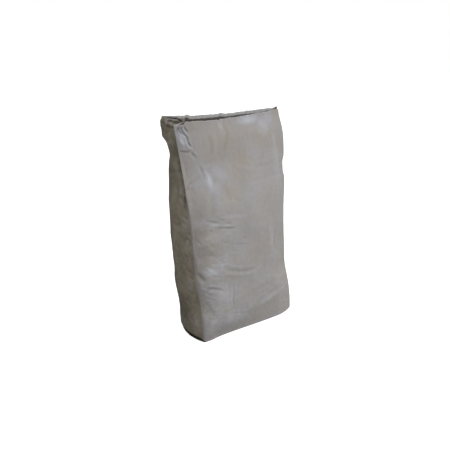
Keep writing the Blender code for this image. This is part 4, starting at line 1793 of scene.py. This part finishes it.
@dataclass(frozen=True)
class Pattern:
    """Pieces that a Geometry Nodes tree repeats; the sizes a pattern holds are its tree's inputs."""

    name = ""

    def lay(self, board: NodeBoard, given: Outputs) -> Socket:
        """Lays the pattern's nodes and returns its geometry."""
        raise NotImplementedError

    @staticmethod
    def chance(board: NodeBoard, low: Value, high: Value, seed: Socket, later: float) -> Socket:
        """Adds random numbers or vectors between two values.

        Args:
            board: The board of the tree.
            low: The lowest value.
            high: The highest value.
            seed: The seed.
            later: How many steps later.

        Returns:
            The random values.
        """
        kind, first = ("FLOAT_VECTOR", 0) if isinstance(low, tuple) else ("FLOAT", 2)
        inputs = {first: low, first + 1: high, "Seed": board.math("ADD", seed, later)}
        return board.node("FunctionNodeRandomValue", inputs, data_type=kind).outputs[first // 2]

    def finished(self, board: NodeBoard, given: Outputs) -> dict[str, Socket]:
        """Makes the laid pattern real and gives it its material.

        Args:
            board: The board of its tree.
            given: The tree's inputs.

        Returns:
            A socket for each output.
        """
        real = board.node("GeometryNodeRealizeInstances", {0: self.lay(board, given)}).outputs[0]
        ready = {"Geometry": real, "Material": given["Material"]}
        return {"Geometry": board.node("GeometryNodeSetMaterial", ready).outputs[0]}

    def grow(self, base: Mesh, material: Material) -> Piece:
        """Runs the tree on a mesh.

        Args:
            base: The line or surface that the pattern follows; it is used up.
            material: The new piece's material.

        Returns:
            The pattern as a plain mesh object at the origin.
        """
        sizes = {each.name: WHOLE if each.type is int else FLOAT for each in fields(self)}
        inputs = {"Geometry": GEOMETRY} | sizes | {"Material": MATERIAL}
        outputs = {"Geometry": GEOMETRY}
        tree = new_group(self.name, "GeometryNodeTree", inputs, outputs, self.finished)
        tree.is_modifier = True
        carrier = shown_object(f"{self.name}_base", base)
        modifier = carrier.modifiers.new(self.name, "NODES")
        modifier.node_group = tree
        wanted = asdict(self) | {"Material": material}
        for item in tree.interface.items_tree:
            if item.in_out == "INPUT" and item.name in wanted:
                modifier[item.identifier] = wanted[item.name]
        depsgraph = bpy.context.evaluated_depsgraph_get()
        mesh = bpy.data.meshes.new_from_object(carrier.evaluated_get(depsgraph))
        mesh.name = self.name
        carrier.modifiers.remove(modifier)
        bpy.data.objects.remove(carrier)
        bpy.data.meshes.remove(base)
        LOG.info("%s: %d faces", self.name, len(mesh.polygons))
        return shown_object(self.name, mesh)


@dataclass(frozen=True)
class LipFibres(Pattern):
    """Torn paper fibres that stand off the sack's cut lip, spaced along its line."""

    name = "lip_fibres"
    inward = 0.0003
    spacing: float = 0.0022
    longest: float = 0.0036
    thickness: float = 0.00011
    seed: int = 1

    def lay(self, board: NodeBoard, given: Outputs) -> Socket:
        """Puts a thin three-sided needle on points along the line, turned at random.

        Args:
            board: The board of its tree.
            given: The tree's inputs.

        Returns:
            The geometry.
        """
        line = board.node("GeometryNodeMeshToCurve", {0: given["Geometry"]}).outputs[0]
        along = {"Curve": line, "Length": given["spacing"]}
        points = board.node("GeometryNodeCurveToPoints", along, mode="LENGTH").outputs["Points"]
        thick = given["thickness"]
        tip = board.math("MULTIPLY", thick, 0.3)
        cone = {"Vertices": 3, "Radius Top": tip, "Radius Bottom": thick, "Depth": given["longest"]}
        needle = board.node("GeometryNodeMeshCone", cone).outputs["Mesh"]
        tilt = self.chance(board, (-1.3, -1.3, 0.0), (1.3, 1.3, 6.28), given["seed"], 0.0)
        size = self.chance(board, 0.3, 1.0, given["seed"], 5.0)
        put = {"Points": points, "Instance": needle, "Rotation": tilt, "Scale": size}
        return board.node("GeometryNodeInstanceOnPoints", put).outputs[0]

    def build(self, sack: PaperSack, paper: Material) -> Piece:
        """Makes the fibres along a sack's lip.

        Args:
            sack: The sack.
            paper: The fibres' material.

        Returns:
            The fibres.
        """
        points = sack.lip_line(self.inward)
        edges = [(i, (i + 1) % len(points)) for i in range(len(points))]
        return self.grow(new_mesh("lip_line", points, [], edges), paper)


@dataclass(frozen=True)
class ClayCrumbs(Pattern):
    """Small lumps of clay strewn over the top of the powder."""

    name = "clay_crumbs"
    density: float = 16000.0
    largest: float = 0.0036
    seed: int = 7

    def lay(self, board: NodeBoard, given: Outputs) -> Socket:
        """Puts a small uneven lump on random points of the surface.

        Args:
            board: The board of its tree.
            given: The tree's inputs.

        Returns:
            The geometry.
        """
        seed = given["seed"]
        spread = {"Mesh": given["Geometry"], "Density": given["density"], "Seed": seed}
        points = board.node("GeometryNodeDistributePointsOnFaces", spread).outputs[0]
        ball = {"Radius": 1.0, "Subdivisions": 1}
        lump = board.node("GeometryNodeMeshIcoSphere", ball).outputs[0]
        turn = self.chance(board, (0.0, 0.0, 0.0), (6.28, 6.28, 6.28), seed, 0.0)
        rare = board.math("POWER", self.chance(board, 0.0, 1.0, seed, 3.0), 3.5)
        share = board.math("MULTIPLY_ADD", rare, 0.8, 0.2)
        radius = board.math("MULTIPLY", share, given["largest"])
        uneven = self.chance(board, (0.7, 0.7, 0.55), (1.0, 1.0, 0.9), seed, 9.0)
        size = board.vector("SCALE", {0: uneven, "Scale": radius})
        put = {"Points": points, "Instance": lump, "Rotation": turn, "Scale": size}
        return board.node("GeometryNodeInstanceOnPoints", put).outputs[0]


@dataclass(frozen=True)
class ClayFill:
    """The clay that fills the sack: a mass pressed against the paper, with a loose top."""

    clearance: tuple[tuple[float, ...], ...] = ((-0.05, 0.01), (0.0052, 0.0022))
    lowest: float = 0.0040
    top: float = 0.530
    heap: float = 0.011
    shoulder: float = 0.35
    lump: float = 0.0042
    swells: float = 22.0
    clods: float = 62.0
    crumbs: ClayCrumbs = ClayCrumbs()

    def build(self, sack: PaperSack, clay: Material) -> list[Piece]:
        """Makes the clay and its crumbs.

        Args:
            sack: The sack that holds it.
            clay: The clay's material.

        Returns:
            The clay and the crumbs.
        """
        heights = sack.skin.height * sack.form.height
        last, seen = (int(np.argmin(abs(heights - level))) for level in (self.top, sack.open_to))
        chosen = np.unique([*range(4, seen, 7), *range(seen, last, 2), last])
        gap = np.interp(heights[chosen] - sack.open_to, *self.clearance)
        wall = sack.shape[chosen] - blurred(outward(sack.shape), 3)[chosen] * gap[:, None, None]
        wall[..., 2] = np.maximum(wall[..., 2], self.lowest)
        wall[-1, :, 2] = self.top + self._lumps(wall[-1]) * 0.5
        shell = Shell()
        shell.add_points(wall, {})
        shell.add_faces(grid_faces(*wall.shape[:2]))
        size = sack.steps.panel, 2 * sack.steps.gusset_half
        bottom, cap = Cap(wall[0], *size), Cap(wall[-1], *size)
        shell.add_faces(bottom.faces(0, shell.add_points(bottom.inner, {}), upward=False))
        u, v = cap.place
        edge = np.minimum(np.minimum(u, 1 - u) * 2.2, np.minimum(v, 1 - v)) / self.shoulder
        top = cap.inner.copy()
        top[..., 2] += self.heap * ease(edge) + self._lumps(top) * np.clip(edge * 3, 0.5, 1)
        shell.add_faces(cap.faces(wall[:-1, :, 0].size, shell.add_points(top, {}), upward=True))
        mass = shell.build("clay_mass", [clay])
        inner = np.arange(edge.size).reshape(edge.shape)[1:-1, 1:-1]
        return [mass, self.crumbs.grow(new_mesh("clay_bed", top, quads(inner)), clay)]

    def _lumps(self, points: Grid) -> Grid:
        """Finds how far the clay's lumps stand up.

        Args:
            points: Points of its top.

        Returns:
            The rise at each of them.
        """
        rise = []
        for x, y, _ in points.reshape(-1, 3).tolist():
            wide = noise.fractal(Vector((x * self.swells, y * self.swells, 4.7)), 1.0, 2.1, 3)
            cells = noise.voronoi(Vector((x * self.clods, y * self.clods, 1.3)))[0]
            rise.append(0.8 * wide + max(0.0, 0.42 - cells[0]) * 1.6 - 0.15)
        return np.reshape(rise, points.shape[:-1]) * self.lump


def toward(azimuth: float, elevation: float) -> Vector:
    """The way out at some degrees round from the front, to its right, and up."""
    a, e = math.radians(azimuth), math.radians(elevation)
    return Vector((math.sin(a) * math.cos(e), -math.cos(a) * math.cos(e), math.sin(e)))


@dataclass(frozen=True)
class Studio:
    """The pale floor, the soft light and the camera.

    The lights are a soft key on the right, one from above and a weak one on the left, each with its
    name, azimuth, elevation, softness, strength and colour.
    """

    eye: tuple[float, float, float] = (-1.0031, -1.3043, 0.8934)
    azimuth: float = -36.5
    elevation: float = 18.5
    roll: float = -2.3
    focal: float = 520 / 450
    sensor: float = 36.0
    lights: tuple[tuple, ...] = (
        ("key_light", 48.0, 34.0, 36.0, 2.45, (1.0, 1.0, 1.0)),
        ("top_light", 0.0, 88.0, 80.0, 2.2, (1.0, 1.0, 0.99)),
        ("fill_light", -26.0, 16.0, 60.0, 0.60, (1.0, 1.0, 1.0)),
    )
    floor: float = 14.0
    glow: float = 1.0
    world: float = 0.15

    def build(self) -> None:
        """Sets everything up."""
        self._camera()
        self._floor()
        self._world()
        for name, azimuth, elevation, softness, strength, colour in self.lights:
            data = bpy.data.lights.new(name, "SUN")
            data.energy, data.color, data.angle = strength, colour, math.radians(softness)
            turned = toward(azimuth, elevation).to_track_quat("Z", "Y")
            shown_object(name, data).matrix_world = turned.to_matrix().to_4x4()

    def _camera(self) -> None:
        """Places the camera."""
        back, r = toward(self.azimuth, self.elevation), math.radians(self.roll)
        right = (-back).cross(Vector((0, 0, 1))).normalized()
        up = right.cross(-back)
        turned = right * math.cos(r) + up * math.sin(r)
        upright = up * math.cos(r) - right * math.sin(r)
        data = bpy.data.cameras.new("camera")
        data.sensor_width = self.sensor
        data.lens = self.sensor * self.focal
        data.clip_start = 0.05
        camera = shown_object("camera", data)
        frame = Matrix((turned, upright, back)).transposed().to_4x4()
        camera.matrix_world = Matrix.Translation(self.eye) @ frame
        bpy.context.scene.camera = camera

    def _floor(self) -> None:
        """Lays the floor, which glows a little to the camera alone."""
        f = self.floor
        mesh = new_mesh("floor", [(-f, -f, 0), (f, -f, 0), (f, f, 0), (-f, f, 0)], [(0, 1, 2, 3)])
        paper = Finish("floor_paper")
        board = paper.board
        pale = board.mix(board.noise(paper.place, 3.0), paint(240, 240, 239), paint(244, 244, 243))
        seen = board.node("ShaderNodeLightPath").outputs["Is Camera Ray"]
        shown = board.mix(seen, paint(166, 164, 160), paint(170, 170, 169))
        glow = {"Emission Color": pale, "Emission Strength": board.math("MULTIPLY", seen, self.glow)}
        paper.give({"Base Color": shown, "Roughness": 0.9, "Specular IOR Level": 0.0, "IOR": 1.45} | glow)
        mesh.materials.append(paper.material)
        shown_object("floor", mesh)

    def _world(self) -> None:
        """Sets the white surroundings, dim but to the camera."""
        world = bpy.data.worlds.new("surroundings")
        world.use_nodes = True
        world.node_tree.nodes.clear()
        board = NodeBoard(world.node_tree)
        dim, white = (
            board.node("ShaderNodeBackground", {"Color": (1, 1, 1, 1), "Strength": strength}).outputs[0]
            for strength in (self.world, 1.0)
        )
        seen = board.node("ShaderNodeLightPath").outputs["Is Camera Ray"]
        both = board.node("ShaderNodeMixShader", {0: seen, 1: dim, 2: white}).outputs[0]
        board.node("ShaderNodeOutputWorld", {"Surface": both})
        bpy.context.scene.world = world
        bpy.context.scene.view_settings.view_transform = "Standard"


def main() -> None:
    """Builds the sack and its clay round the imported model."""
    logging.basicConfig(level=logging.INFO, format="%(message)s")
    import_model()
    Studio().build()
    outside, inside, clay = DustyPaper().material(), InnerPaper().material(), FireClay().material()
    sack = PaperSack()
    sack.crumple()
    skin = sack.build(outside, inside)
    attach(skin, "root")
    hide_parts("paper_sack")
    fibres = LipFibres().build(sack, outside)
    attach(fibres, "root")
    mass, crumbs = ClayFill().build(sack, clay)
    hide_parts("clay_fill")
    for piece in (mass, crumbs):
        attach(piece, "root")


if __name__ == "__main__":
    main()
